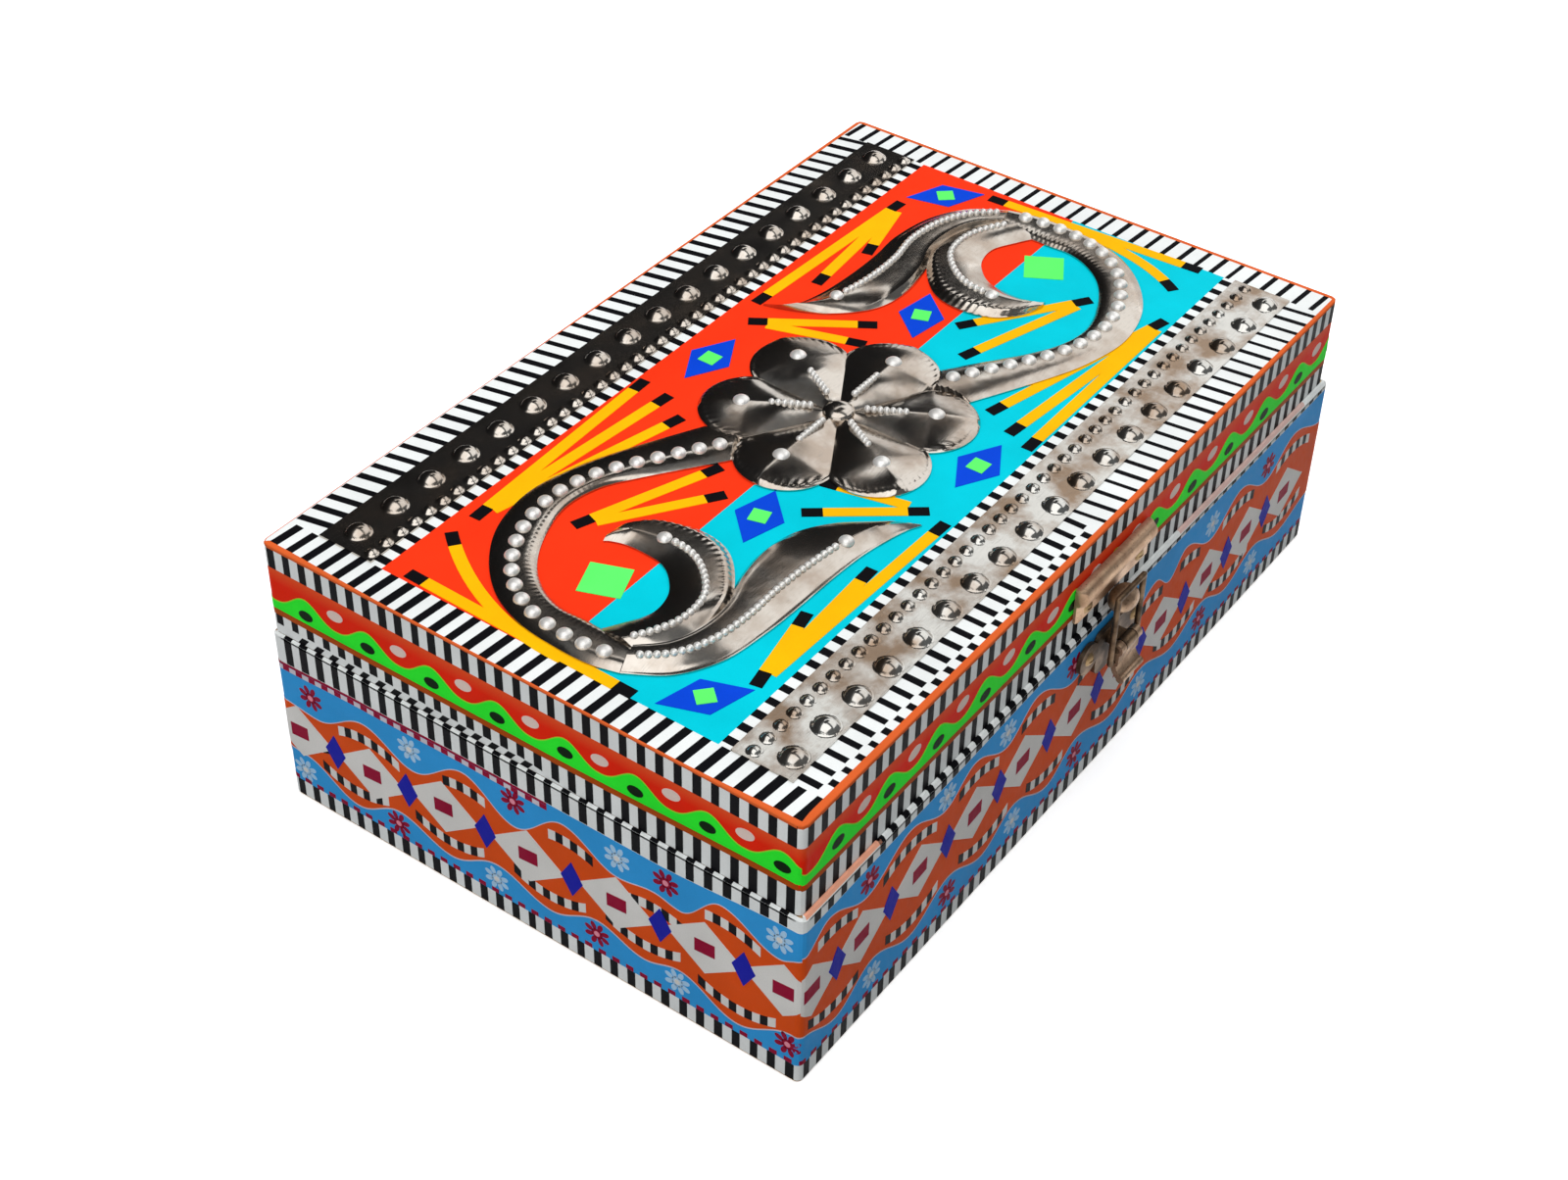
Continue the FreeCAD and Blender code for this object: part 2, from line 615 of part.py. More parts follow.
def rosette():
    middle = ORNAMENT_MIDDLE + vec(0, 0, ORNAMENT_SEAT)
    parts = [dome(middle, BOSS_RADIUS * MOTIF_SCALE, BOSS_RISE)]
    for at in petal_middles():
        parts.append(dome(at, PETAL_RADIUS * MOTIF_SCALE, PETAL_RISE))
        bead_at = middle + (at - middle) * (PETAL_BEAD_REACH / PETAL_REACH)
        parts.append(bead(bead_at + vec(0, 0, PETAL_RISE - PETAL_BEAD / 2), PETAL_BEAD))
    return dome(middle, HUB_RADIUS * MOTIF_SCALE, HUB_RISE).multiFuse(parts)


def studded_strip(side, stud_pitch, shift):
    """A steel strip with a row of studs by the border and a row of pearls by the field, shifted outward."""
    y_out = FIELD_MIDDLE + side * STRIP_OUTER
    y_in = FIELD_MIDDLE + side * STRIP_INNER
    seat = LID_TOP
    top = seat + SHEET
    plate = block(-FIELD_HALF_LENGTH, FIELD_HALF_LENGTH, min(y_out, y_in), max(y_out, y_in), seat, top)
    rows = [(stud_pitch, y_out - side * (STUD_FROM_EDGE - shift), STUD_RADIUS, STUD_RISE),
            (PEARL_PITCH, y_in + side * (PEARL_FROM_FIELD + shift), PEARL_RADIUS, PEARL_RISE)]
    bumps = []
    for pitch, y, radius, rise in rows:
        count = round(2 * FIELD_HALF_LENGTH / pitch)
        step = 2 * FIELD_HALF_LENGTH / count
        places = [-FIELD_HALF_LENGTH + step * (k + 0.5) for k in range(count)]
        bumps += [dome(vec(x, y, top - SINK), radius, rise) for x in places]
    return plate.multiFuse(bumps)


def lid_steel():
    stem = scroll_stem()
    leaf = forked_leaf()
    return {
        "rosette": rosette(),
        "left_scroll_stem": stem,
        "right_scroll_stem": half_turned(stem),
        "left_forked_leaf": leaf,
        "right_forked_leaf": half_turned(leaf),
        "back_studded_strip": studded_strip(1, BACK_STUD_PITCH, 0),
        "front_studded_strip": studded_strip(-1, FRONT_STUD_PITCH, FRONT_ROWS_SHIFT),
    }


# Wood screws

def screw(at, outward):
    """A slotted round-head screw whose head stands on a point."""
    head = dome(ORIGIN, SCREW_HEAD_RADIUS, SCREW_HEAD_RISE)
    shank = Part.makeCylinder(SCREW_SHANK_RADIUS, SCREW_LENGTH, vec(0, 0, -SCREW_LENGTH))
    slot = block(-SCREW_HEAD_RADIUS, SCREW_HEAD_RADIUS, -SCREW_SLOT / 2, SCREW_SLOT / 2,
                 SCREW_HEAD_RISE - SCREW_SLOT_DEPTH, SCREW_HEAD_RISE)
    body = head.fuse(shank).cut(slot)
    body.Placement = FreeCAD.Placement(at, FreeCAD.Rotation(UP, outward))
    return body


def screw_hole(at, outward):
    length = SCREW_LENGTH + 2 * RUNNING_CLEARANCE
    return Part.makeCylinder(SCREW_SHANK_RADIUS + RUNNING_CLEARANCE, length, at, outward * -1)


# Butt hinges

BACK = FreeCAD.Vector(0, 1, 0)
LEAF_SEAT_Y = BASE[3] + HARDWARE_SEAT
HINGE_Y = LEAF_SEAT_Y + KNUCKLE_LIFT + KNUCKLE_RADIUS
HINGE_Z = BASE_HEIGHT + PARTING_GAP / 2
HINGE_X = BASE_LENGTH / 2 - HINGE_FROM_END


def leaf_screws(x, up):
    z = HINGE_Z + up * (LEAF_DEPTH - LEAF_SCREW_FROM_EDGE)
    return [vec(x + s * LEAF_SCREW_SPREAD / 2, LEAF_SEAT_Y + LEAF_PLATE, z) for s in (-1, 1)]


def hinge_leaf(x, up, stretches):
    """One leaf, above or below the pin, with knuckles over the given stretches of its length."""
    near = KNUCKLE_RADIUS + KNUCKLE_GAP
    z_near, z_far = sorted((HINGE_Z + up * near, HINGE_Z + up * LEAF_DEPTH))
    half = LEAF_LENGTH / 2
    leaf = block(x - half, x + half, LEAF_SEAT_Y, LEAF_SEAT_Y + LEAF_PLATE, z_near, z_far)
    tabs = []
    for a, b in stretches:
        z0, z1 = sorted((HINGE_Z, HINGE_Z + up * near))
        tabs.append(block(x + a, x + b, LEAF_SEAT_Y, LEAF_SEAT_Y + LEAF_PLATE, z0, z1))
        tabs.append(rod(vec(x + a, HINGE_Y, HINGE_Z), vec(x + b, HINGE_Y, HINGE_Z), KNUCKLE_RADIUS))
    bore = rod(vec(x - LEAF_LENGTH, HINGE_Y, HINGE_Z), vec(x + LEAF_LENGTH, HINGE_Y, HINGE_Z),
               PIN_RADIUS + RUNNING_CLEARANCE)
    holes = [screw_hole(at, BACK) for at in leaf_screws(x, up)]
    return leaf.multiFuse(tabs).removeSplitter().cut(group([bore] + holes))


def hinges():
    half = MIDDLE_KNUCKLE / 2
    outer = LEAF_LENGTH / 2
    base_stretches = [(-outer, -half - KNUCKLE_GAP), (half + KNUCKLE_GAP, outer)]
    pieces = {}
    for name, x in (("left_hinge", -HINGE_X), ("right_hinge", HINGE_X)):
        pieces[name + "_base_leaf"] = hinge_leaf(x, -1, base_stretches)
        pieces[name + "_lid_leaf"] = hinge_leaf(x, 1, [(-half, half)])
        ends = [vec(x + s * outer, HINGE_Y, HINGE_Z) for s in (-1, 1)]
        pieces[name + "_pin"] = rod(ends[0], ends[1], PIN_RADIUS)
    return pieces


def hinge_screw_places(up):
    return [at for x in (-HINGE_X, HINGE_X) for at in leaf_screws(x, up)]


# Toggle latch

FRONT = FreeCAD.Vector(0, -1, 0)
LATCH_SHIFT = FreeCAD.Vector(LATCH_FROM_MIDDLE, 0, 0)
STRIKE_SEAT_Y = LID[2] - HARDWARE_SEAT
CATCH_SEAT_Y = BASE[2] - HARDWARE_SEAT
STRIKE_FACE_Y = STRIKE_SEAT_Y - LATCH_PLATE
CATCH_FACE_Y = CATCH_SEAT_Y - LATCH_PLATE
STRIKE_TOP = LID_TOP - STRIKE_TOP_DROP
SHELF_Z = STRIKE_TOP - HOOK_DROP
CATCH_TOP = BASE_HEIGHT - CATCH_DROP
LEVER_PIVOT_HEIGHT = BASE_HEIGHT - LEVER_PIVOT_DROP
LEVER_Y = CATCH_SEAT_Y - LEVER_PIVOT_REACH
LOOP_Y = LEVER_Y + OVER_CENTRE
LOOP_Z = LEVER_PIVOT_HEIGHT - LEVER_THROW
BAR_Z = SHELF_Z + BAR_CLEARANCE + WIRE_RADIUS
LOOP_BAR_X = LEVER_LENGTH / 2 + LOOP_GAP + WIRE_RADIUS


def across(x, y, z, half, radius):
    """A round bar along the length of the box, centred on a point."""
    return rod(vec(x - half, y, z), vec(x + half, y, z), radius)


def front_plate(half, z0, z1, seat_y):
    """A latch plate with rounded corners, flat on the front."""
    plate = block(-half, half, seat_y - LATCH_PLATE, seat_y, z0, z1)
    corners = [e for e in plate.Edges if abs(e.Vertexes[0].Y - e.Vertexes[1].Y) > LATCH_PLATE / 2]
    return plate.makeFillet(PLATE_ROUNDING, corners)


def strike_screw_places():
    z = STRIKE_TOP - (STRIKE_SWELL_HEIGHT + STRIKE_DEPTH) / 2
    return [vec(s * STRIKE_SCREW_SPREAD / 2, STRIKE_FACE_Y, z) for s in (-1, 1)]


def catch_screw_places():
    return [vec(s * CATCH_SCREW_SPREAD / 2, CATCH_FACE_Y, CATCH_TOP - LOBE_RADIUS) for s in (-1, 1)]


def hook():
    """A level shelf for the wire, with a rounded nose, and an underside that falls back to the plate."""
    nose = LOOP_Y - HOOK_TIP + HOOK_NOSE
    low = SHELF_Z - 2 * HOOK_NOSE
    back_top = vec(0, STRIKE_SEAT_Y, SHELF_Z)
    back_low = vec(0, STRIKE_SEAT_Y, SHELF_Z - HOOK_ROOT)
    root_low = vec(0, STRIKE_FACE_Y, SHELF_Z - HOOK_ROOT)
    nose_top = vec(0, nose, SHELF_Z)
    nose_low = vec(0, nose, low)
    arc = Part.Arc(nose_top, vec(0, nose - HOOK_NOSE, SHELF_Z - HOOK_NOSE), nose_low).toShape()
    outline = Part.Wire([line(back_top, nose_top), arc, line(nose_low, root_low), line(root_low, back_low),
                         line(back_low, back_top)])
    face = Part.Face(outline)
    face.translate(vec(-HOOK_LENGTH / 2, 0, 0))
    return face.extrude(vec(HOOK_LENGTH, 0, 0))


def strike_plate():
    plate = front_plate(STRIKE_LENGTH / 2, STRIKE_TOP - STRIKE_DEPTH, STRIKE_TOP, STRIKE_SEAT_Y)
    chord = STRIKE_SWELL_HEIGHT / 2
    radius = (chord ** 2 + STRIKE_SWELL ** 2) / (2 * STRIKE_SWELL)
    swell_y = STRIKE_FACE_Y - STRIKE_SWELL
    half = STRIKE_LENGTH / 2 - PLATE_ROUNDING
    swell = across(0, swell_y + radius, STRIKE_TOP - chord, half, radius)
    swell = swell.common(block(-half, half, swell_y, STRIKE_SEAT_Y, 0, LID_TOP))
    holes = [screw_hole(at, FRONT) for at in strike_screw_places()]
    return plate.multiFuse([swell, hook()]).removeSplitter().cut(group(holes))


def catch_plate():
    middle = front_plate(CATCH_LENGTH / 2, CATCH_TOP - CATCH_DEPTH, CATCH_TOP, CATCH_SEAT_Y)
    lobes = [Part.makeCylinder(LOBE_RADIUS, LATCH_PLATE, vec(at.x, CATCH_SEAT_Y, at.z), FRONT)
             for at in catch_screw_places()]
    bridge = block(-CATCH_SCREW_SPREAD / 2, CATCH_SCREW_SPREAD / 2, CATCH_FACE_Y, CATCH_SEAT_Y,
                   CATCH_TOP - LOBE_RADIUS - LUG_WEB, CATCH_TOP - LOBE_RADIUS + LUG_WEB)
    lug = across(0, LEVER_Y, LEVER_PIVOT_HEIGHT, LUG_LENGTH / 2, LEVER_BARREL)
    web = block(-LUG_LENGTH / 2, LUG_LENGTH / 2, LEVER_Y, CATCH_SEAT_Y,
                LEVER_PIVOT_HEIGHT - LUG_WEB / 2, LEVER_PIVOT_HEIGHT + LUG_WEB / 2)
    bore = across(0, LEVER_Y, LEVER_PIVOT_HEIGHT, LEVER_LENGTH, LATCH_PIN_RADIUS + RUNNING_CLEARANCE)
    holes = [screw_hole(at, FRONT) for at in catch_screw_places()]
    return middle.multiFuse(lobes + [bridge, lug, web]).removeSplitter().cut(group([bore] + holes))


def lever():
    """Two barrels joined by a web, then a tail that curls outward to a finger lip."""
    half = LEVER_LENGTH / 2
    pivot = across(0, LEVER_Y, LEVER_PIVOT_HEIGHT, half, LEVER_BARREL)
    loop_barrel = across(0, LOOP_Y, LOOP_Z, half, LOOP_BARREL)
    web = block(-half, half, LOOP_Y - LOOP_BARREL, LOOP_Y + LOOP_BARREL / 2, LOOP_Z, LEVER_PIVOT_HEIGHT)
    centre = vec(-half, LOOP_Y - LOOP_BARREL / 2 - LIP_RADIUS, LOOP_Z)
    side = vec(1, 0, 0)
    ring = Part.makeCylinder(LIP_RADIUS + LIP_THICKNESS, LEVER_LENGTH, centre, side)
    ring = ring.cut(Part.makeCylinder(LIP_RADIUS, LEVER_LENGTH, centre, side))
    turn = math.radians(LIP_TURN)
    reach = 2 * LIP_RADIUS
    wedge = [centre, centre + vec(0, reach, 0), centre + vec(0, reach, -reach * math.tan(turn / 2)),
             centre + vec(0, reach * math.cos(turn), -reach * math.sin(turn))]
    tail = ring.common(Part.Face(Part.makePolygon(wedge + wedge[:1])).extrude(side * LEVER_LENGTH))
    middle = LIP_RADIUS + LIP_THICKNESS / 2
    lip = across(0, centre.y + middle * math.cos(turn), LOOP_Z - middle * math.sin(turn), half, LIP_BEAD)
    slot = LUG_LENGTH / 2 + LATCH_GAP
    room = LEVER_BARREL + LATCH_GAP
    gap = block(-slot, slot, LEVER_Y - 2 * room, LEVER_Y + 2 * room, LEVER_PIVOT_HEIGHT - room,
                LEVER_PIVOT_HEIGHT + 2 * room)
    pin_bore = across(0, LEVER_Y, LEVER_PIVOT_HEIGHT, LEVER_LENGTH, LATCH_PIN_RADIUS + RUNNING_CLEARANCE)
    stub_bores = [across(s * half, LOOP_Y, LOOP_Z, LOOP_STUB + LATCH_GAP, WIRE_RADIUS + RUNNING_CLEARANCE)
                  for s in (-1, 1)]
    body = pivot.multiFuse([loop_barrel, web, tail, lip]).removeSplitter()
    return body.cut(group([gap, pin_bore] + stub_bores))


def wire_loop():
    """A bent wire: a top bar over the hook, two sides, and two stubs turned in to the lever."""
    corners = [vec(s * LOOP_BAR_X, LOOP_Y, z) for s in (-1, 1) for z in (LOOP_Z, BAR_Z)]
    stub_end = LEVER_LENGTH / 2 - LOOP_STUB
    bars = [rod(corners[0], corners[1], WIRE_RADIUS), rod(corners[2], corners[3], WIRE_RADIUS),
            rod(corners[1], corners[3], WIRE_RADIUS),
            rod(corners[0], vec(-stub_end, LOOP_Y, LOOP_Z), WIRE_RADIUS),
            rod(corners[2], vec(stub_end, LOOP_Y, LOOP_Z), WIRE_RADIUS)]
    elbows = [Part.makeSphere(WIRE_RADIUS, corner) for corner in corners]
    return bars[0].multiFuse(bars[1:] + elbows).removeSplitter()


def latch():
    """The pieces of the latch, drawn about its own middle and moved to its place along the front."""
    pieces = {
        "latch_strike_plate": strike_plate(),
        "latch_catch_plate": catch_plate(),
        "latch_lever": lever(),
        "latch_lever_pin": across(0, LEVER_Y, LEVER_PIVOT_HEIGHT, LEVER_LENGTH / 2, LATCH_PIN_RADIUS),
        "latch_wire_loop": wire_loop(),
    }
    return {name: shape.translated(LATCH_SHIFT) for name, shape in pieces.items()}


def latch_screw_places(places):
    return [at + LATCH_SHIFT for at in places]


# Assembly

def drilled(pieces, holes):
    """The wood and vinyl pieces with the screw holes that meet them cut through."""
    result = {}
    for name, shape in pieces.items():
        near = [hole for hole in holes if shape.BoundBox.intersect(hole.BoundBox)]
        result[name] = shape.cut(group(near)) if near else shape
    return result


def screws(places, outward):
    return group([screw(at, outward) for at in places])


def holes_for(places, outward):
    return [screw_hole(at, outward) for at in places]


def main():
    catch_places = latch_screw_places(catch_screw_places())
    strike_places = latch_screw_places(strike_screw_places())
    base_holes = holes_for(hinge_screw_places(-1), BACK) + holes_for(catch_places, FRONT)
    lid_holes = holes_for(hinge_screw_places(1), BACK) + holes_for(strike_places, FRONT)
    pieces = drilled({**base_boards(), **base_vinyl()}, base_holes)
    pieces.update(drilled({**lid_boards(), **lid_side_vinyl(), **lid_top_vinyl()}, lid_holes))
    pieces.update(lid_steel())
    pieces.update(hinges())
    pieces.update(latch())
    pieces["base_hinge_screws"] = screws(hinge_screw_places(-1), BACK)
    pieces["lid_hinge_screws"] = screws(hinge_screw_places(1), BACK)
    pieces["strike_plate_screws"] = screws(strike_places, FRONT)
    pieces["catch_plate_screws"] = screws(catch_places, FRONT)
    os.makedirs("parts", exist_ok=True)
    for name, shape in pieces.items():
        shape.exportStep("parts/" + name + ".step")
        print(name, len(shape.Solids), "solids, valid" if shape.isValid() else "solids, NOT VALID",
              round(shape.Volume, 2))


main()
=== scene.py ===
import bmesh
import bpy
import json
import math
import random
from mathutils import Matrix, Vector


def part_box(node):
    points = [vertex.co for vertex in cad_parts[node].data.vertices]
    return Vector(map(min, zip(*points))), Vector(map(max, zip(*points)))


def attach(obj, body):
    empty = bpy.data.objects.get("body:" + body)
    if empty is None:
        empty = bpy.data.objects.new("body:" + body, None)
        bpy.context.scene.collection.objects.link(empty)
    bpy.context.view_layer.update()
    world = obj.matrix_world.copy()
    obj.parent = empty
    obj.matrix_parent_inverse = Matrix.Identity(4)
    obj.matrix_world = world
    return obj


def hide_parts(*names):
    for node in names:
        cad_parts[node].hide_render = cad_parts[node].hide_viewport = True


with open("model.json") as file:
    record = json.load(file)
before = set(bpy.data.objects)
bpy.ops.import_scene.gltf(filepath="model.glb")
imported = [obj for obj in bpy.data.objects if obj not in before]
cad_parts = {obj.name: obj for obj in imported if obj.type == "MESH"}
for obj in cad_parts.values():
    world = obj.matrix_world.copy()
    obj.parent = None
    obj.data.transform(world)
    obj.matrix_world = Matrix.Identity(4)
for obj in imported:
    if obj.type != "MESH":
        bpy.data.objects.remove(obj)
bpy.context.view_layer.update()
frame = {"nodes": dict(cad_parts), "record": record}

# A hinged wooden box clad in cut vinyl, with pressed steel on its lid and a toggle latch.
# Shapes are worked out in millimetres, in the frame of the solids, and become metres as pieces.
MM = 0.001
CHANCE = random.Random(11)

# Numbers of the sides, which go round from the front to the right end, the back and the left end
FRONT, RIGHT, LEFT = 0, 1, 3

# Thicknesses above the wood, in the order in which the layers are stuck down
FILM = 0.25
BAR = 0.05
OUTLINE = 0.30
RIBBON = 0.35
DIAMOND = 0.42
TOPMOST = 0.48

# Stripes
STRIPE_PITCH = 5.05
BAR_WIDTH = 2.3
TOP_BAR = 1.9
NARROW_BAR = 2.2
THIN_BAR = 1.4
BAR_UNEVEN = 0.2
SPOT_UNEVEN = 0.12
BAR_STEP = 0.7
END_LEAN = 0.7
BACK_LEAN = 1.9
RIGHT_LEAN = -1.0
BACK_MARGIN = 0.3
RIGHT_MARGIN = 0.5
FRONT_ROW = 5.4
FRONT_MARGIN = 1.0
FRONT_NOTCH = 2.4
BROWN_LINE = 1.8
LINE_LAP = 0.2
END_MARKS = (4.0, 84.0)
MARK_HEIGHT = 2.1
MARK_LEAN = 1.6

# Edges and corners of the tapes
CORNER_ROUNDING = 1.5
EDGE_BEVEL = 0.1
TRIM_THICK = 0.06
TRIM_BEVEL = 0.12
TRIM_DROP = 0.25
TRIM_DROP_SHARE = 0.3
LEDGE_GAP = 0.15
LEDGE_TURN = 0.6
LEDGE_BEVEL = (0.4, 0.12, 0.1)
LEDGE_RISES = [0.8, 0.3, 0.0, 0.35]
PEACH_LEDGE = (1.0, 30.0)
BARRED_LEDGE = (28.0, 126.0)
PINK_LEDGE = (166.0, 236.0)

# Small cut-outs on the sides
DASH = 2.2
DASH_HEIGHT = 3.1
DASH_PITCH = 4.2
DASH_WIDTH = 2.2
DASHES = 10
DASH_MARGIN = 0.6
DASH_CORNER = 0.3
ARC_INSET = 3.4
ARC_BEND = 2.8
EDGE_DASHES = (0.1, 1.5)
DASHED_END = 86.0
DASHED_LINE = 0.8
DASHED_ROW = (2.4, 0.9)
RIBBON_EDGE = (0.5, 0.3)
DIAMOND_HALF = (11.4, 8.6)
LINK_HALF = (3.3, 5.7)
LOZENGE_TIP = 0.02
LEAST_RUN = 0.05
SQUARE_HALF = (2.9, 2.1)
SQUARE_LEAN = 0.1
FLOWER_RADIUS = 3.9
FLOWER_PETALS = 8
FLOWER_PETAL = (0.66, 0.34, 0.2)
FLOWER_HEART = 0.42
FLOWER_EYE = 0.22
WAVE_PITCHES = [19.7, 19.6, 20.6, 19.95]
WAVE_FIRST = [12.9, 9.8, 10.3, 12.0]
WAVE_LOW = 2.5
WAVE_HIGH = 7.5
WAVE_SHARPNESS = 1.25
WAVE_EDGE = (0.15, 0.35)
DARK_OVAL_HEIGHT = 3.1
DARK_OVAL = (2.3, 1.5)
DARK_OVAL_LEAN = 0.1
PALE_OVAL_HEIGHT = 7.2
PALE_OVAL = (2.6, 1.6)
PALE_OVAL_LEAN = 0.2
OVAL_UNEVEN = 0.5
OVAL_POINTS = 16
OVAL_MARGIN = 4.0

# Uneven edges, as laid by hand, on the front, the right end, the back and the left end.
# Each edge is a row of (distance from the left corner of its side, height or width).
WAVE_FEET = [
    [(0, 63.5), (248, 62.6)], [(0, 62.7), (157, 62.7)], [(0, 62.7), (248, 62.7)],
    [(0, 62.0), (80, 62.4), (157, 63.8)],
]
TAPE_EDGES = [
    [(0, 50.3), (50, 51.2), (105, 52.4), (250, 52.4)], [(0, 48.6), (158, 48.6)], [(0, 48.6), (250, 48.6)],
    [(0, 45.6), (30, 46.6), (60, 47.3), (115, 47.4), (158, 50.2)],
]
TRIM_WIDTHS = [
    [(0, 1.2), (5, 1.6), (60, 1.4), (150, 1.1), (248, 0.8)], [(0, 1.0), (157, 1.0)],
    [(0, 0.9), (110, 0.5), (165, 0.05), (248, 0.05)], [(0, 1.2), (45, 0.2), (120, 0.2), (157, 1.3)],
]
END_BAR_FEET = [(0, 57.2), (75, 56.8), (98, 54.3), (157, 54.3)]

# Layout of the left end, from its back corner, and of the front, from its left corner: (distance, height).
# A flower has a third value: 1 where it is deep red, 0 where it is sky blue.
END_UPPER = [
    (0, 32.6), (12, 31.5), (28, 39), (43.5, 32.4), (60, 41.6), (75.5, 33), (90.5, 43), (106.5, 35.6),
    (117, 37.4), (124.5, 36), (136, 45.4), (152, 38.6), (158, 41),
]
END_LOWER = [
    (0, 17), (6, 16.5), (23, 8.9), (37.5, 15.3), (54, 10.1), (69, 16.4), (85.5, 11.2), (100, 17),
    (113.5, 13), (124, 16), (140.5, 9.2), (156, 16), (158, 15.8),
]
END_DIAMONDS = [
    (5, 24), (29.3, 23.3), (52.8, 26.2), (79.3, 25.8), (106, 27), (131.5, 28.7), (153.4, 29.4),
]
END_FLOWERS = [
    (10.5, 38, 1), (43, 39.5, 0), (75.5, 41.6, 1), (106.5, 42, 0), (120.5, 42.8, 1), (152, 45, 0),
    (5, 10.5, 0), (36.6, 10.6, 1), (68.4, 11, 0), (99.5, 12, 1), (123.4, 11.4, 0), (154.8, 11.8, 1),
]
FRONT_UPPER = [
    (0, 42), (9.8, 47.2), (24.5, 41), (42, 48.2), (56.5, 42.4), (69, 48.2), (83.5, 42), (96.7, 48.8),
    (114.5, 40.5), (128, 46.4), (142, 40), (155, 45.6), (163, 40.4), (170.8, 46.4), (185.6, 39.6),
    (201, 46.8), (217, 39.6), (232, 46.8), (250, 41),
]
FRONT_LOWER = [
    (0, 15.8), (13.5, 10.6), (28.3, 17.4), (44.4, 11), (60.4, 17.4), (75.6, 11.8), (90, 18), (106.5, 11.2),
    (120, 17.6), (138, 12), (153, 17.6), (170, 12.6), (186, 17.8), (200.5, 12.6), (216, 17.8), (232, 12.6),
    (250, 16.6),
]
FRONT_DIAMONDS = [
    (3.6, 29.2), (22.9, 29.6), (46.7, 31), (70.4, 30.8), (92.1, 31), (116.8, 29.2), (139.5, 28.4),
    (161, 28), (186, 27.6), (208.4, 27.8), (231, 27.4),
]
FRONT_FLOWERS = [
    (25.4, 46, 1), (57, 46.8, 0), (83.4, 47, 0), (114.5, 46, 1), (142, 45.6, 0), (185.4, 45.2, 0),
    (217, 45.2, 1), (28.3, 11.6, 0), (60.4, 11.6, 1), (90, 12, 0), (120, 11.6, 1), (153, 11.8, 0),
    (186, 11.8, 1), (216, 11.8, 0),
]

# A regular layout for the sides that the photograph doesn't show
EVEN_PERIOD = 30.6
EVEN_UPPER = (33, 42)
EVEN_LOWER = (15, 9)
EVEN_FLOWERS = (40.5, 9.6)
EVEN_PITCH = 24.6
EVEN_DIAMOND = 25.3

# The motifs on the lid top are drawn on a field of this size.
# A section of an ornament is its outer edge, its inner edge and the share from outer to inner of its ridge.
DRAWN_LENGTH = 231.2
DRAWN_WIDTH = 99.4
STEM_ROOT = ((-18, 20), (-25.3, 6.2), 0.64)
STEM_SECTIONS = [
    ((-25, 24.3), (-32.3, 10.5), 0.64), ((-46.3, 35), (-51.3, 24), 0.62),
    ((-58.8, 39.8), (-60.6, 29.4), 0.62), ((-72.5, 42.1), (-71, 31), 0.6),
    ((-86.3, 39.4), (-81.9, 28.1), 0.54), ((-97.5, 32.5), (-91.4, 22.8), 0.48),
    ((-106, 22.8), (-97.4, 16), 0.42), ((-110.4, 11.9), (-100.4, 8.4), 0.36),
    ((-111.8, 0), (-100.4, 0.6), 0.32), ((-111.6, -9.4), (-100.6, -7.2), 0.36),
    ((-109.8, -16.9), (-101.4, -14.4), 0.45),
]
LEAF_SECTIONS = [
    ((-101.4, -14.5), (-109.8, -17), 0.5), ((-95.6, -20), (-103.1, -26.9), 0.5),
    ((-87.5, -22.6), (-92.5, -33.1), 0.52), ((-77.5, -22.4), (-78.8, -35.3), 0.56),
    ((-67.5, -18.8), (-66.9, -36), 0.62), ((-56.3, -17.3), (-54.4, -36.3), 0.68),
    ((-45, -19.4), (-43.1, -37.1), 0.7), ((-35.6, -26), (-34, -38.8), 0.66),
    ((-29.4, -34.4), (-28.5, -40.4), 0.58), ((-25.2, -41.2), (-25, -42.1), 0.5),
]
RIGHT_LEAF_END = [
    ((-67.5, -18.8), (-66.9, -34.4), 0.58), ((-56.3, -17.3), (-54.4, -34.4), 0.61),
    ((-45.4, -19.6), (-43.3, -35.4), 0.62), ((-36.8, -27), (-34.8, -37.6), 0.6),
    ((-31.8, -35.6), (-30.2, -41), 0.55), ((-28.9, -44.2), (-28.7, -45), 0.5),
]
CURL_SECTIONS = [
    ((-101.6, -3.4), (-102, -16), 0.62), ((-96.3, -6.6), (-97.5, -19.6), 0.62),
    ((-89.4, -10), (-88, -23), 0.62), ((-82.5, -9.2), (-76.5, -22.6), 0.6),
    ((-77.4, -5.6), (-66.8, -17), 0.52), ((-74.3, -1.2), (-60.4, -9.8), 0.44),
    ((-73.4, 4), (-58.6, -1), 0.4), ((-73.5, 10.2), (-61, 8.2), 0.38),
    ((-74.6, 14), (-66.8, 13.6), 0.4), ((-75.6, 15.6), (-72.8, 16), 0.46),
]

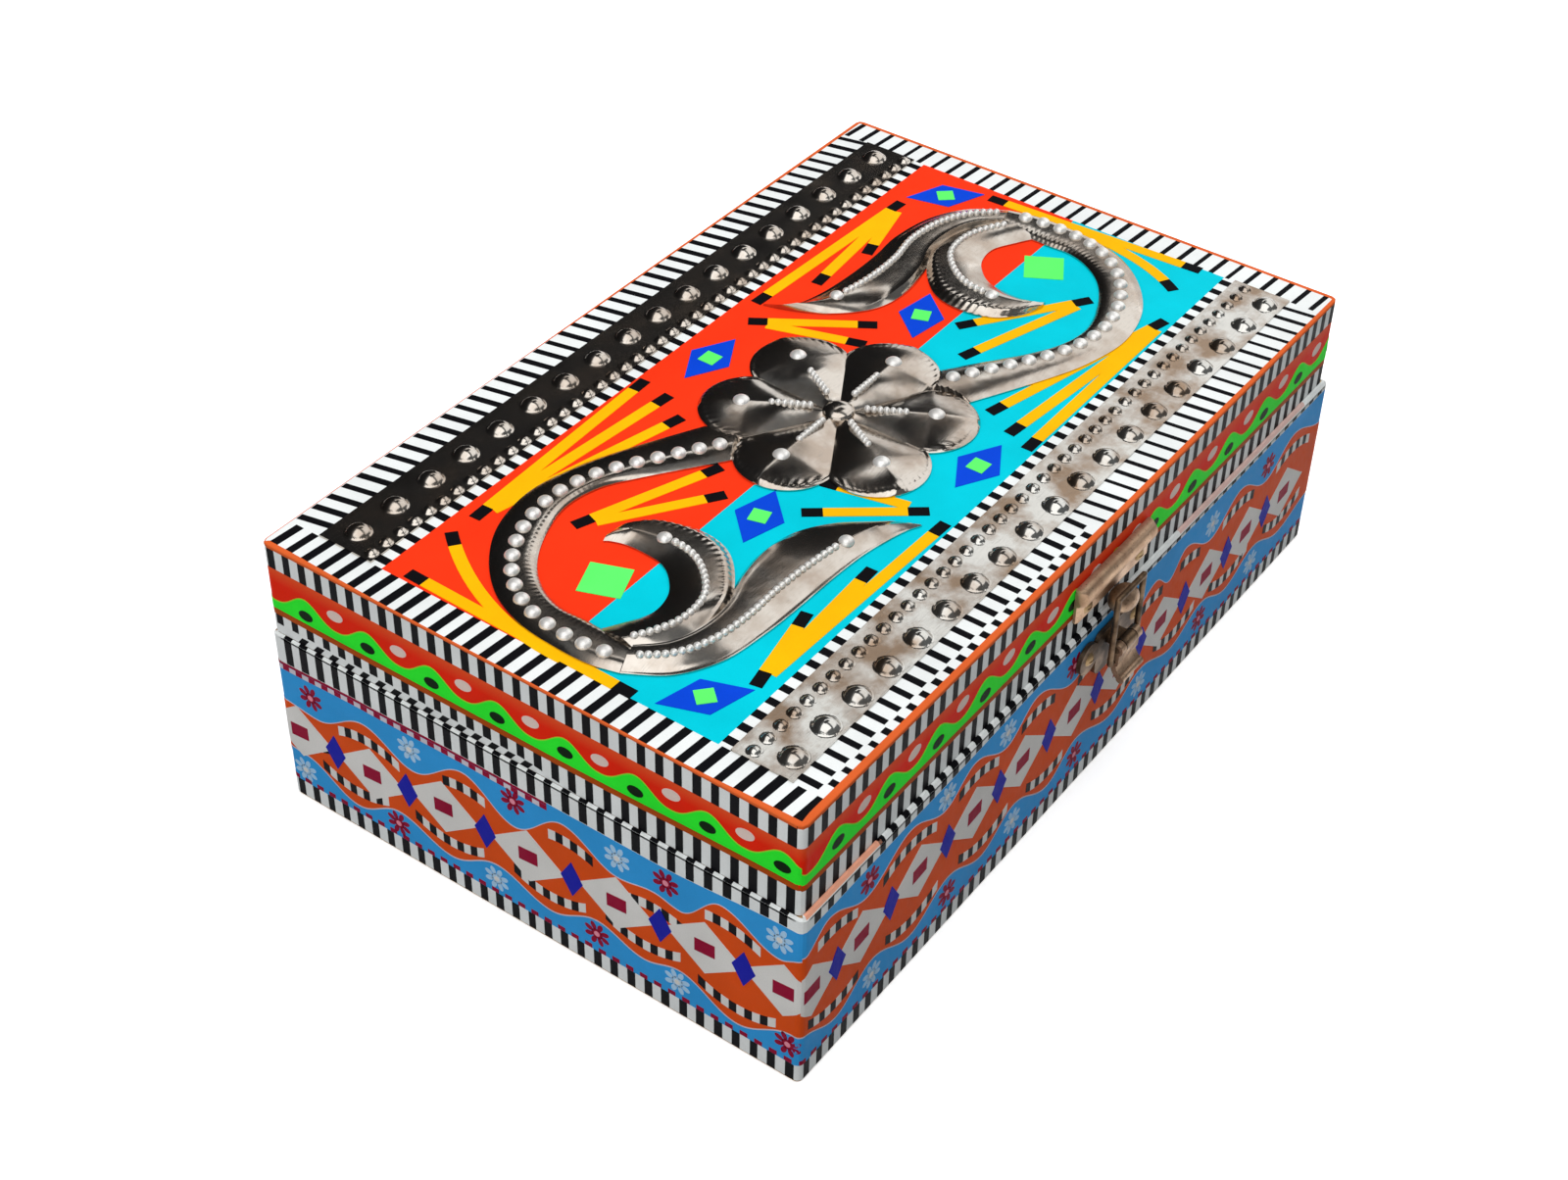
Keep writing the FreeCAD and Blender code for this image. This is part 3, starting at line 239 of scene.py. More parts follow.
# Pressed steel: heights above the seat, and the places of its beads
RIM = 0.5
RUN_STEP = 0.42
ACROSS = [0.0, 0.04, 0.09, 0.15, 0.23, 0.32, 0.42, 0.52, 0.62, 0.72, 0.8, 0.87, 0.93, 1.0]
TIP_SLOPE = 0.45
SERRATION_PITCH = 1.7
SERRATION_START = (0.5, 0.72)
SERRATION_END = (0.92, 1.0)
BEAD_FLATNESS = 0.75
STEM_RISE = 1.8
STEM_BEAD = 2.0
STEM_BEAD_SUNK = 0.2
STEM_BEAD_PITCH = 5.4
STEM_TEETH = 0.03
STEM_TOOTHED = (0.3, 0.45)
STEM_OUTER_BEND = 2.4
STEM_INNER_BENDS = (1.7, 3.5)
STEM_TURN = (0.2, 0.36)
LEAF_RISE = 2.4
LEAF_TIP = (0.62, 0.78)
LEAF_TIP_BEND = 1.4
LEAF_INNER_BEND = 0.95
LEAF_SHOULDER = 0.86
LEAF_LIP = 0.25
LEAF_GROOVE = 0.12
LEAF_GROOVE_AT = (0.84, 0.06)
LEAF_GROOVE_GROWTH = (2.0, 5.0)
LEAF_BEAD = 2.0
LEAF_BEAD_SUNK = 0.5
LEAF_BEAD_SHARE = 0.77
LEAF_CORD = (0.02, 0.74)
CURL_TEETH = 0.08
CURL_TOOTHED = (0.3, 0.42)
CURL_TOOTHLESS = (0.9, 0.97)
CURL_OUTER_BEND = 1.7
CURL_ROOT = (0.22, 0.42)
CURL_ROOT_BEND = 1.2
CURL_SHOULDER = 0.7
SHELF_FALL = 0.15
SHELF_LIP_REACH = 0.05
CORD_RADIUS = 1.0
CORD_PITCH = 1.9
CORD_TWIST = 0.5
CORD_OVERLAP = 0.52
PETALS = 6
PETAL_REACH = 22.5
PETAL_RADIUS = 13.7
HUB_RISE = 1.6
PETAL_RISE = 2.9
PETAL_GROWTH = (4.0, 18.0)
PETAL_FALL = 2.0
PETAL_BEND = 1.35
PETAL_LEAST = 0.8 * RIM
PETAL_LIP = 0.22
PETAL_LIP_AT = (0.7, 0.5)
PETAL_TEETH = 0.1
PETAL_TEETH_AT = (1.8, 1.0)
PETAL_BEAD = 2.35
PETAL_BEAD_SUNK = 0.8
PETAL_BEAD_REACH = 25.0
PETAL_CORD = (6.5, 18.0)
PETAL_CORD_SUNK = 0.2
ROSETTE_SPOKES = 360
ROSETTE_BELTS = 44
BOSS_RADIUS = 4.2
BOSS_RISE = 3.2
BOSS_MIDDLE = 1.2
STUD_RADIUS = 3.3
STUD_RISE = 1.9
PEARL_RADIUS = 1.6
PEARL_RISE = 1.05
PEARL_PITCH = 5.0
STRIP_STEP = 0.3
# Each strip has a look, the pitch of its studs, and how far in its studs and its pearls lie from their edges
STRIPS = {"back": ("pressed_steel", 12.7, 6.6, 2.0), "front": ("stained_steel", 12.1, 4.2, 4.4)}

# Strike plate of the latch
STRIKE_PLATE = 1.2
STRIKE_SWELL = 2.2
STRIKE_SWELL_HEIGHT = 5.4
STRIKE_SWELL_STEP = 0.3
STRIKE_DEPTH = 10.5
STRIKE_END = 0.8
STRIKE_END_SHARE = 0.6
HOOK_SHELF = 8.85
HOOK_HALF = (4.9, 3.6, 3.3)
HOOK_SUNK = 0.4

# Stage, light and camera, in metres and watts
CAMERA_AT = Vector((-0.42313, -0.28106, 0.45277))
CAMERA_HEADING = math.radians(54.954)
CAMERA_DIP = math.radians(40.278)
CAMERA_ROLL = math.radians(-1.239)
CAMERA_LENS = 57.045
CAMERA_NEAR = 0.01
SENSOR = 36.0
FLOOR_HALF = 14.0
FLOOR_BOUNCE = (0.26, 0.26, 0.26, 1.0)
FLOOR_GLOW = 0.45
SKY_COLOUR = (0.9, 0.95, 1.0, 1.0)
SKY_STRENGTH = 0.13
CARDS = {
    "dark_card": [(-1.6, 0.62, 0.0), (0.7, 0.62, 0.0), (1.75, 0.62, 1.06), (-1.6, 0.62, 1.06)],
    "dark_roof": [(0.1, 0.12, 1.15), (1.0, 0.12, 1.15), (1.0, 0.5, 1.15), (0.1, 0.5, 1.15)],
}
# Each light has a place, an aim, a width, a depth, a power, and whether the steel mirrors it
LIGHTS = {
    "key": ((1.65, -0.22, 1.2), (1.65, -0.22, 0.0), 2.3, 1.94, 15.0, True),
    "right_panel": ((2.4, 0.4, 0.55), (0.0, 0.4, 0.55), 2.4, 1.1, 7.0, True),
    "top_panel": ((-0.68, -0.22, 1.5), (-0.68, -0.22, 0.0), 1.86, 1.54, 13.0, True),
    "near_panel": ((-1.75, -0.7, 0.75), (0.0, 0.0, 0.05), 2.0, 1.2, 9.0, True),
    "overhead": ((0.1, 0.15, 1.5), (0.1, 0.15, 0.0), 1.2, 1.2, 10.2, False),
    "left_fill": ((-1.6, 0.5, 0.7), (0.0, 0.0, 0.05), 0.9, 0.9, 3.5, False),
}


def span(node):
    """The lowest and highest corner of a solid, in millimetres."""
    low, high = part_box(node)
    return low / MM, high / MM


def plan_of(node):
    low, high = span(node)
    return low.x, high.x, low.y, high.y


BASE = plan_of("base_bottom_panel")
LID = plan_of("lid_top_panel")
LID_TOP = span("lid_top_panel")[1].z
BASE_TOP = span("base_front_wall")[1].z
FIELD_LOW = span("lid_cyan_sheet")[0]
FIELD_HIGH = span("lid_red_sheet")[1]
ORNAMENT_MIDDLE = ((span("rosette")[0] + span("rosette")[1]) / 2).xy
STRETCH_X = (FIELD_HIGH.x - FIELD_LOW.x) / DRAWN_LENGTH
STRETCH_Y = (FIELD_HIGH.y - FIELD_LOW.y) / DRAWN_WIDTH
MOTIF_SCALE = min(STRETCH_X, STRETCH_Y)
STEEL_SEAT = LID_TOP + FILM


# Shapes

class Solid:
    """The points and faces of one piece, in millimetres, gathered before it becomes an object."""

    def __init__(self):
        self.points = []
        self.faces = []

    def add(self, points, faces):
        start = len(self.points)
        self.points += points
        self.faces += [[start + k for k in face] for face in faces]

    def loft(self, loops):
        """A closed solid through a row of closed loops of points."""
        n = len(loops[0])
        faces = [list(range(n)), [(len(loops) - 1) * n + i for i in range(n)]]
        for k in range(len(loops) - 1):
            a, b = k * n, (k + 1) * n
            faces += [[a + i, a + (i + 1) % n, b + (i + 1) % n, b + i] for i in range(n)]
        self.add([point for loop in loops for point in loop], faces)

    def slab(self, outline, place, low, high):
        """A closed slab over an outline, between two heights above a surface."""
        self.loft([[place(a, b, lift) for a, b in outline] for lift in (low, high)])

    def fold(self, place, start, end, section, step=1.5):
        """A closed strip along a side. Its section of (lift, height) points may change along it."""
        self.loft([[place(s, z, lift) for lift, z in section(s)] for s in stations(start, end, step)])

    def band(self, place, start, end, lower, upper, low, high, step=1.0):
        """A closed slab between two edges given as functions of the distance along a surface."""
        def section(s):
            return [(low, lower(s)), (low, upper(s)), (high, upper(s)), (high, lower(s))]
        self.fold(place, start, end, section, step)

    def relief(self, rows, seat):
        """A closed solid under rows of points, standing on a level seat."""
        self.loft([row + [(row[-1][0], row[-1][1], seat), (row[0][0], row[0][1], seat)] for row in rows])

    def bead(self, at, along, across, up, turn=0.0, segments=18, belts=12):
        """An egg with its own half lengths, turned about the upright."""
        x, y, z = at
        c, s = math.cos(turn), math.sin(turn)
        points = [(x, y, z + up)]
        for belt in range(1, belts):
            polar = math.pi * belt / belts
            for k in range(segments):
                angle = 2 * math.pi * k / segments
                u = along * math.sin(polar) * math.cos(angle)
                v = across * math.sin(polar) * math.sin(angle)
                points.append((x + u * c - v * s, y + u * s + v * c, z + up * math.cos(polar)))
        points.append((x, y, z - up))
        last = len(points) - 1
        pairs = [(k, (k + 1) % segments) for k in range(segments)]
        faces = [[0, 1 + k, 1 + m] for k, m in pairs]
        for belt in range(belts - 2):
            a = 1 + belt * segments
            b = a + segments
            faces += [[a + k, b + k, b + m, a + m] for k, m in pairs]
        faces += [[last - segments + m, last - segments + k, last] for k, m in pairs]
        self.add(points, faces)


def piece(name, solid, body, slot, replaces=(), look=None, smooth_below=None):
    """Makes an object of a solid, sets it on a body and gives it the finish of its slot or another look."""
    mesh = bpy.data.meshes.new(name)
    mesh.from_pydata([Vector(p) * MM for p in solid.points], [], solid.faces)
    work = bmesh.new()
    work.from_mesh(mesh)
    bmesh.ops.recalc_face_normals(work, faces=work.faces)
    work.to_mesh(mesh)
    work.free()
    mesh.materials.append(MATERIALS[look or slot])
    if smooth_below:
        for polygon in mesh.polygons:
            polygon.use_smooth = True
        mesh.set_sharp_from_angle(angle=math.radians(smooth_below))
    made = bpy.data.objects.new(name, mesh)
    bpy.context.scene.collection.objects.link(made)
    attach(made, body)
    if replaces:
        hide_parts(*replaces)


def side_place(plan, turn):
    """Maps a distance from the left corner of a side, a height and a lift, round the corners too."""
    x0, x1, y0, y1 = plan
    length = (x1 - x0) if turn % 2 == 0 else (y1 - y0)
    r = CORNER_ROUNDING

    def place(s, z, lift):
        angle = 0.0
        along = s
        if s < r:
            angle = -math.pi / 4 * (1 - s / r)
            along = r + (r + lift) * math.sin(angle)
        elif s > length - r:
            angle = math.pi / 4 * (1 - (length - s) / r)
            along = length - r + (r + lift) * math.sin(angle)
        out = (r + lift) * math.cos(angle) - r
        spots = [(x0 + along, y0 - out), (x1 + out, y0 + along),
                 (x1 - along, y1 + out), (x0 - out, y1 - along)]
        return (*spots[turn], z)

    return place, length


def sides(plan):
    """Each side in turn: its number, its map and its length."""
    for turn in range(4):
        yield turn, *side_place(plan, turn)


def top_place(x, y, lift):
    return x, y, LID_TOP + lift


def left_end_place(s, x, lift):
    return x, LID[3] - s, LID_TOP + lift


def right_end_place(s, x, lift):
    return x, LID[2] + s, LID_TOP + lift


def stations(start, end, step):
    count = max(1, math.ceil((end - start) / step))
    return [start + (end - start) * k / count for k in range(count + 1)]


def eased(knots):
    """A smooth wave through crests and hollows, level at each."""
    def height(s):
        for (a, low), (b, high) in zip(knots, knots[1:]):
            if s <= b:
                return low + (high - low) * (1 - math.cos(math.pi * (s - a) / (b - a))) / 2
        return knots[-1][1]
    return height


def level(z):
    return lambda s: z


def smooth_step(low, high, value):
    t = min(1.0, max(0.0, (value - low) / (high - low)))
    return t * t * (3 - 2 * t)


def ripple(distance, middle, reach):
    """A soft bump that is 1 at its middle and dies away over its reach."""
    return math.exp(-((distance - middle) / reach) ** 2)


# Materials

class Finish:
    """A new material, with short ways to add to its nodes."""

    def __init__(self, name):
        self.material = bpy.data.materials.new(name)
        self.material.use_nodes = True
        self.tree = self.material.node_tree
        self.place = self.node("TexCoord").outputs["Object"]

    def join(self, value, socket):
        """Sets a socket to a plain value, or links it to the output of another node."""
        if isinstance(value, bpy.types.NodeSocket):
            self.tree.links.new(value, socket)
        else:
            socket.default_value = value

    def node(self, kind, inputs=None, **settings):
        made = self.tree.nodes.new("ShaderNode" + kind)
        for key, value in settings.items():
            setattr(made, key, value)
        for key, value in (inputs or {}).items():
            self.join(value, made.inputs[key])
        return made

    def maths(self, operation, *values):
        return self.node("Math", dict(enumerate(values)), operation=operation).outputs[0]

    def noise(self, scale, detail=3.0, roughness=0.55):
        """A cloudy pattern. A scale of three numbers draws it out along the axes."""
        place = self.place
        if isinstance(scale, tuple):
            place = self.node("Mapping", {"Vector": place, "Scale": scale}).outputs["Vector"]
            scale = 1.0
        inputs = {"Vector": place, "Scale": scale, "Detail": detail, "Roughness": roughness}
        return self.node("TexNoise", inputs).outputs["Fac"]

    def ranged(self, value, low, high, to_low=0.0, to_high=1.0):
        inputs = {"Value": value, "From Min": low, "From Max": high, "To Min": to_low, "To Max": to_high}
        return self.node("MapRange", inputs).outputs["Result"]

    def mixed(self, factor, a, b):
        return self.node("Mix", {0: factor, 6: a, 7: b}, data_type="RGBA").outputs[2]

    def bumped(self, height, strength, distance, normal=None):
        inputs = {"Height": height, "Strength": strength, "Distance": distance}
        if normal:
            inputs["Normal"] = normal
        return self.node("Bump", inputs).outputs["Normal"]

    def done(self, inputs):
        """Sets the inputs of the shader and gives back the material."""
        for key, value in inputs.items():
            self.join(value, self.tree.nodes["Principled BSDF"].inputs[key])
        return self.material


def linear(red, green, blue):
    """A colour given as it looks on a screen, from 0 to 255."""
    def one(value):
        v = value / 255
        return v / 12.92 if v <= 0.04045 else ((v + 0.055) / 1.055) ** 2.4
    return one(red), one(green), one(blue), 1.0


def shade(colour, factor, lift=0.0):
    return tuple(c * factor + lift for c in colour[:3]) + (1.0,)


def vinyl(name, colour, roughness=0.34, upper=None, fade=None):
    """Cut vinyl film: slight colour drift, scuffs, a fine grain and the waves of a hand-laid film.

    A second colour takes over with height, between the two heights of the fade, in millimetres.
    """
    finish = Finish(name)
    drift = finish.noise(55.0)
    grain = finish.noise(2600.0, 2.0)
    scuff = finish.noise((900.0, 140.0, 300.0), 4.0, 0.7)
    base = finish.mixed(finish.ranged(drift, 0.3, 0.7), shade(colour, 0.92), shade(colour, 1.05))
    if upper:
        height = finish.node("SeparateXYZ", {"Vector": finish.place}).outputs["Z"]
        base = finish.mixed(finish.ranged(height, fade[0] * MM, fade[1] * MM), base, upper)
    base = finish.mixed(finish.ranged(grain, 0.42, 0.62, 0.0, 0.12), base, shade(colour, 0.72))
    base = finish.mixed(finish.ranged(scuff, 0.66, 0.8, 0.0, 0.5), base, shade(colour, 0.9, 0.02))
    waves = finish.bumped(finish.noise(110.0, 2.0), 0.25, 0.0005)
    return finish.done({
        "Base Color": base,
        "Roughness": finish.ranged(scuff, 0.3, 0.8, roughness - 0.06, roughness + 0.24),
        "Normal": finish.bumped(grain, 0.18, 0.00006, waves),
        "Specular IOR Level": 0.015,
    })


def pressed_steel(name, bright, bloom_amount, smooth, dull, metallic=1.0):
    """Polished sheet, pressed by hand: shallow dents, hairline scratches and a brownish bloom."""
    finish = Finish(name)
    bloom = finish.noise(75.0, 4.0)
    lines = finish.noise((240.0, 2600.0, 240.0), 3.0, 0.65)
    base = finish.mixed(finish.ranged(bloom, 0.42, 0.62, 0.0, bloom_amount), bright, linear(150, 122, 96))
    dents = finish.bumped(finish.noise(120.0, 2.0), 0.2, 0.0005)
    return finish.done({
        "Base Color": finish.mixed(finish.ranged(lines, 0.55, 0.75, 0.0, 0.4), base, shade(bright, 0.5)),
        "Roughness": finish.ranged(bloom, 0.3, 0.75, smooth, dull),
        "Normal": finish.bumped(lines, 0.1, 0.00006, dents),
        "Metallic": metallic,
    })


def antique_brass(name, dark, rubbed):
    """Dark lacquered brass, rubbed lighter in patches, with grime in its hollows."""
    finish = Finish(name)
    rub = finish.noise(200.0, 4.0)
    pits = finish.noise(1500.0, 3.0)
    base = finish.mixed(finish.ranged(rub, 0.36, 0.64), dark, rubbed)
    return finish.done({
        "Base Color": finish.mixed(finish.ranged(pits, 0.58, 0.74, 0.0, 0.6), base, linear(52, 40, 30)),
        "Roughness": finish.ranged(rub, 0.35, 0.7, 0.56, 0.42),
        "Normal": finish.bumped(pits, 0.25, 0.0001),
        "Metallic": 1.0,
    })


def wood(name, along):
    """Bare softwood with its grain along one axis."""
    finish = Finish(name)
    broad, fine = [90.0] * 3, [1300.0] * 3
    broad[along] = 6.0
    fine[along] = 30.0
    rings = finish.noise(tuple(broad), 4.0, 0.6)
    fibre = finish.noise(tuple(fine), 2.0, 0.6)
    ring_lines = finish.maths("SINE", finish.maths("MULTIPLY", rings, 38.0))
    base = finish.mixed(finish.ranged(ring_lines, -1.0, 1.0), linear(214, 178, 130), linear(178, 134, 86))
    return finish.done({
        "Base Color": finish.mixed(finish.ranged(fibre, 0.45, 0.7, 0.0, 0.55), base, linear(146, 104, 64)),
        "Roughness": finish.ranged(fibre, 0.3, 0.7, 0.5, 0.72),
        "Normal": finish.bumped(fibre, 0.4, 0.0002),
    })


VINYLS = {
    "white": (238, 241, 240), "blue": (56, 160, 230), "orange": (226, 84, 28), "grey": (228, 226, 222),
    "navy": (32, 36, 168), "brown": (176, 76, 18), "green": (50, 252, 54), "red": (254, 58, 24),
    "cyan": (4, 204, 222), "yellow": (255, 188, 10), "royal": (12, 72, 216), "lime": (100, 252, 112),
    "pale_edge": (214, 206, 216), "leaf_edge": (150, 228, 60), "leaf_dark": (4, 28, 5),
    "pale_oval": (236, 214, 204), "deep_red": (150, 18, 54), "sky": (176, 214, 244), "pink": (240, 150, 170),
}
OTHER_VINYLS = {"black": ((18, 18, 21), 0.3), "trim": ((222, 100, 48), 0.5), "peach": ((250, 176, 146), 0.2),
                "rose": ((226, 192, 184), 0.2)}
# The brasses are copies of one brass with painted light and shade: tan is painted light for the strike
# plate, dark is painted shade for the catch plate, the wire loop and the other latch solids, brown lies
# between them for the hook and the lever, and gold is for the screws.
BRASS_LIT_AND_SHADED_TONES = {"dark": ((62, 49, 38), (124, 102, 80)), "brown": ((116, 93, 74), (168, 142, 118)),
           "tan": ((166, 134, 108), (196, 166, 138)), "gold": ((128, 104, 74), (176, 150, 112))}
MATERIALS = {
    "vinyl_crimson": vinyl("side_red_vinyl", linear(240, 42, 16), 0.34, linear(238, 86, 42), (70.5, 74.5)),
    "pressed_steel": pressed_steel("pressed_steel_sheet", linear(210, 202, 192), 0.5, 0.1, 0.24),
    "stained_steel": pressed_steel("stained_steel_sheet", linear(212, 210, 204), 0.9, 0.1, 0.2, 0.97),
    # The steel of the beads and cords has a near-white base and little metal, so their colour carries a
    # painted highlight.
    "white_highlight_steel": pressed_steel("white_highlight_steel_sheet", linear(248, 246, 242), 0.1, 0.34, 0.42, 0.6),
}
for tone, colour in VINYLS.items():
    MATERIALS["vinyl_" + tone] = vinyl(tone + "_vinyl", linear(*colour))
for tone, (colour, roughness) in OTHER_VINYLS.items():
    MATERIALS["vinyl_" + tone] = vinyl(tone + "_vinyl", linear(*colour), roughness)
for tone, (dark, rubbed) in BRASS_LIT_AND_SHADED_TONES.items():
    MATERIALS[tone + "_brass"] = antique_brass("antique_brass_" + tone, linear(*dark), linear(*rubbed))
# The slot's own brass is the dark copy, with painted shade.
MATERIALS["antique_brass"] = MATERIALS["dark_brass"]


def dress_solids():
    """Gives each solid that stays in sight its own finish."""
    long_grain = wood("wood_along_length", 0)
    cross_grain = wood("wood_along_width", 1)
    for part in frame["record"]["subparts"]:
        material = MATERIALS.get(part["material_slot"])
        if not material:
            ends = ("left_wall", "right_wall", "left_rail", "right_rail")
            material = cross_grain if part["node"].endswith(ends) else long_grain
        # The lever takes the brown copy of the brass, painted lighter than the shaded dark copy.
        if part["node"] == "latch_lever":
            material = MATERIALS["brown_brass"]
        if part["node"].endswith("screws"):
            material = MATERIALS["gold_brass"]
        for slot in frame["nodes"][part["node"]].material_slots:
            slot.material = material


# Tapes and their stripes

def bar_spots(start, end, width, shift=0.0):
    """The left edge and the width of each black bar along a tape, a little uneven, as cut by hand."""
    count = round((end - start) / STRIPE_PITCH)
    pitch = (end - start) / count
    spots = []
    for k in range(count):
        wide = width + CHANCE.uniform(-BAR_UNEVEN, BAR_UNEVEN)
        left = start + pitch * (k + 0.5 - shift) - wide / 2 + CHANCE.uniform(-SPOT_UNEVEN, SPOT_UNEVEN)
        if left > start:
            spots.append((left, wide))
    return spots


def side_bars(solid, place, spots, lower, upper):
    for left, wide in spots:
        solid.band(place, left, left + wide, lower, upper, FILM, FILM + BAR, BAR_STEP)


def flat_bars(solid, place, spots, near, far, lean=0.0):
    """Leaning bars between two straight edges of a tape."""
    for left, wide in spots:
        outline = [(left, near), (left + wide, near), (left + wide + lean, far), (left + lean, far)]
        solid.slab(outline, place, FILM, FILM + BAR)


def lid_edges():
    """White film over the top edge of the lid, and the orange trim on it, of uneven width."""
    film, trim = Solid(), Solid()
    inset = span("lid_border_tapes")[0].x - LID[0]
    low = span("lid_upper_striped_tape")[1].z
    top = LID_TOP + FILM
    out = FILM + TRIM_THICK
    bend = [(FILM, LID_TOP + EDGE_BEVEL), (EDGE_BEVEL, top)]
    film_section = [(-inset, LID_TOP), (-inset, top)] + bend[::-1] + [(FILM, low), (0, low), (0, LID_TOP)]
    for turn, place, length in sides(LID):
        width = eased(TRIM_WIDTHS[turn])

        def trim_section(s):
            foot = LID_TOP - TRIM_DROP - TRIM_DROP_SHARE * width(s)
            outside = [(-width(s), top), (-width(s), top + TRIM_THICK), (TRIM_BEVEL, top + TRIM_THICK)]
            return outside + [(out, LID_TOP + TRIM_BEVEL), (out, foot), (FILM, foot)] + bend
        film.fold(place, 0, length, lambda s: film_section)
        trim.fold(place, 0, length, trim_section)
    piece("lid_edge_film", film, "lid", "vinyl_white")
    piece("lid_edge_trim_cut", trim, "lid", "vinyl_trim", ("lid_edge_trim",))


def lid_side_tapes():
    """The lower white tape of the lid, the brown line above it, and the bars of both side tapes."""
    film, line, bars = Solid(), Solid(), Solid()
    bottom = span("lid_lower_striped_tape")[0].z
    red_bottom = span("lid_red_wrap")[0].z
    upper_low = span("lid_upper_striped_tape")[0].z
    for turn, place, length in sides(LID):
        foot = eased(WAVE_FEET[turn])
        film.band(place, 0, length, level(bottom), level(red_bottom), 0, FILM)

        def line_foot(s):
            return foot(s) - BROWN_LINE
        line.band(place, 0, length, line_foot, lambda s: foot(s) + LINE_LAP, FILM, OUTLINE)
        feet = eased(END_BAR_FEET) if turn == LEFT else level(bottom)
        side_bars(bars, place, bar_spots(0, length, BAR_WIDTH), feet, line_foot)
        spots = bar_spots(0, length, THIN_BAR if turn == RIGHT else BAR_WIDTH)
        side_bars(bars, place, spots, level(upper_low), level(LID_TOP + EDGE_BEVEL))
        if turn == LEFT:
            marks = bar_spots(*END_MARKS, BAR_WIDTH, 0.5)
            flat_bars(bars, place, marks, bottom, bottom + MARK_HEIGHT, MARK_LEAN)
            flat_bars(bars, left_end_place, spots, LID[0] - EDGE_BEVEL, FIELD_LOW.x, END_LEAN)
        if turn == RIGHT:
            flat_bars(bars, right_end_place, spots, LID[1] + EDGE_BEVEL, FIELD_HIGH.x, END_LEAN)
    piece("lid_lower_tape_film", film, "lid", "vinyl_white", ("lid_lower_striped_tape",))
    piece("lid_brown_line_cut", line, "lid", "vinyl_brown", ("lid_brown_line",))
    piece("lid_side_bars", bars, "lid", "vinyl_black")


def lid_top_tapes():
    """The bars of the tapes along the front and the back of the lid top."""
    solid = Solid()
    inner_low, inner_high = span("lid_narrow_tapes")
    back = span("back_studded_strip")[1].y
    front = span("front_studded_strip")[0].y
    left, right = FIELD_LOW.x, FIELD_HIGH.x
    notch = LID[2] + FRONT_MARGIN
    rows = [
        (left, right, TOP_BAR, 0.0, LID[3] - BACK_MARGIN, back, BACK_LEAN),
        (left, 0, TOP_BAR, 0.0, front - FRONT_ROW, front, 0.0),
        (left, 0, TOP_BAR, 0.5, notch, notch + FRONT_NOTCH, 0.0),
        (0, right, THIN_BAR, 0.0, LID[2] + RIGHT_MARGIN, front, RIGHT_LEAN),
        (left, right, NARROW_BAR, 0.0, FIELD_HIGH.y, inner_high.y, 0.0),
        (left, right, NARROW_BAR, 0.0, inner_low.y, FIELD_LOW.y, 0.0),
    ]
    for start, end, wide, shift, near, far, lean in rows:
        flat_bars(solid, top_place, bar_spots(start, end, wide, shift), near, far, lean)
    piece("lid_top_bars", solid, "lid", "vinyl_black")


def ledge_section(width, rise, grow, turned_down=True):
    """The tape turned over the top edge of the base, from its inner edge out, and down where it is wide."""
    z = BASE_TOP
    inner, upper, lower = LEDGE_BEVEL
    top = z + rise + grow
    section = [(-width, z), (-width, top), (-inner, top), (0.5 * FILM, z + upper + grow)]
    if turned_down:
        section += [(FILM + grow, z - lower), (FILM + grow, z - LEDGE_TURN), (0, z - LEDGE_TURN)]
    section.append((0, z))
    return lambda s: section


def base_tapes():
    """The blue film, the top tape with its uneven lower edge, its turn over the ledge, and all the bars."""
    blue, film, bars, peach, rose = Solid(), Solid(), Solid(), Solid(), Solid()
    bottom_low, bottom_high = span("base_bottom_striped_tape")
    ledges = [LID[2] - BASE[2], BASE[1] - LID[1], BASE[3] - LID[3], LID[0] - BASE[0]]
    for turn, place, length in sides(BASE):
        edge = eased(TAPE_EDGES[turn])
        blue.band(place, 0, length, level(bottom_high.z), edge, 0, FILM)
        film.band(place, 0, length, edge, level(BASE_TOP), 0, FILM)
        spots = bar_spots(0, length, BAR_WIDTH)
        side_bars(bars, place, spots, level(bottom_low.z), level(bottom_high.z))
        spots = bar_spots(0, length, BAR_WIDTH, 0.5)
        side_bars(bars, place, spots, lambda s: edge(s) + LINE_LAP, level(BASE_TOP - EDGE_BEVEL))
        width = ledges[turn] - FILM - LEDGE_GAP
        if width < 0:
            continue
        rise = LEDGE_RISES[turn]
        film.fold(place, 0, length, ledge_section(width, rise, 0.0))
        for left, wide in spots:
            if turn != FRONT or BARRED_LEDGE[0] < left < BARRED_LEDGE[1]:
                bars.fold(place, left, left + wide, ledge_section(width, rise, BAR))
        if turn == FRONT:
            peach.fold(place, *PEACH_LEDGE, ledge_section(width, rise, BAR, False))
            rose.fold(place, *PINK_LEDGE, ledge_section(width, rise, BAR, False))
    piece("base_blue_film", blue, "base", "vinyl_blue", ("base_blue_wrap",))
    piece("base_top_tape_film", film, "base", "vinyl_white", ("base_top_striped_tape",))
    piece("base_side_bars", bars, "base", "vinyl_black")
    piece("base_ledge_peach", peach, "base", "vinyl_white", (), "vinyl_peach")
    piece("base_ledge_rose", rose, "base", "vinyl_white", (), "vinyl_rose")


# Patterned vinyl on the sides

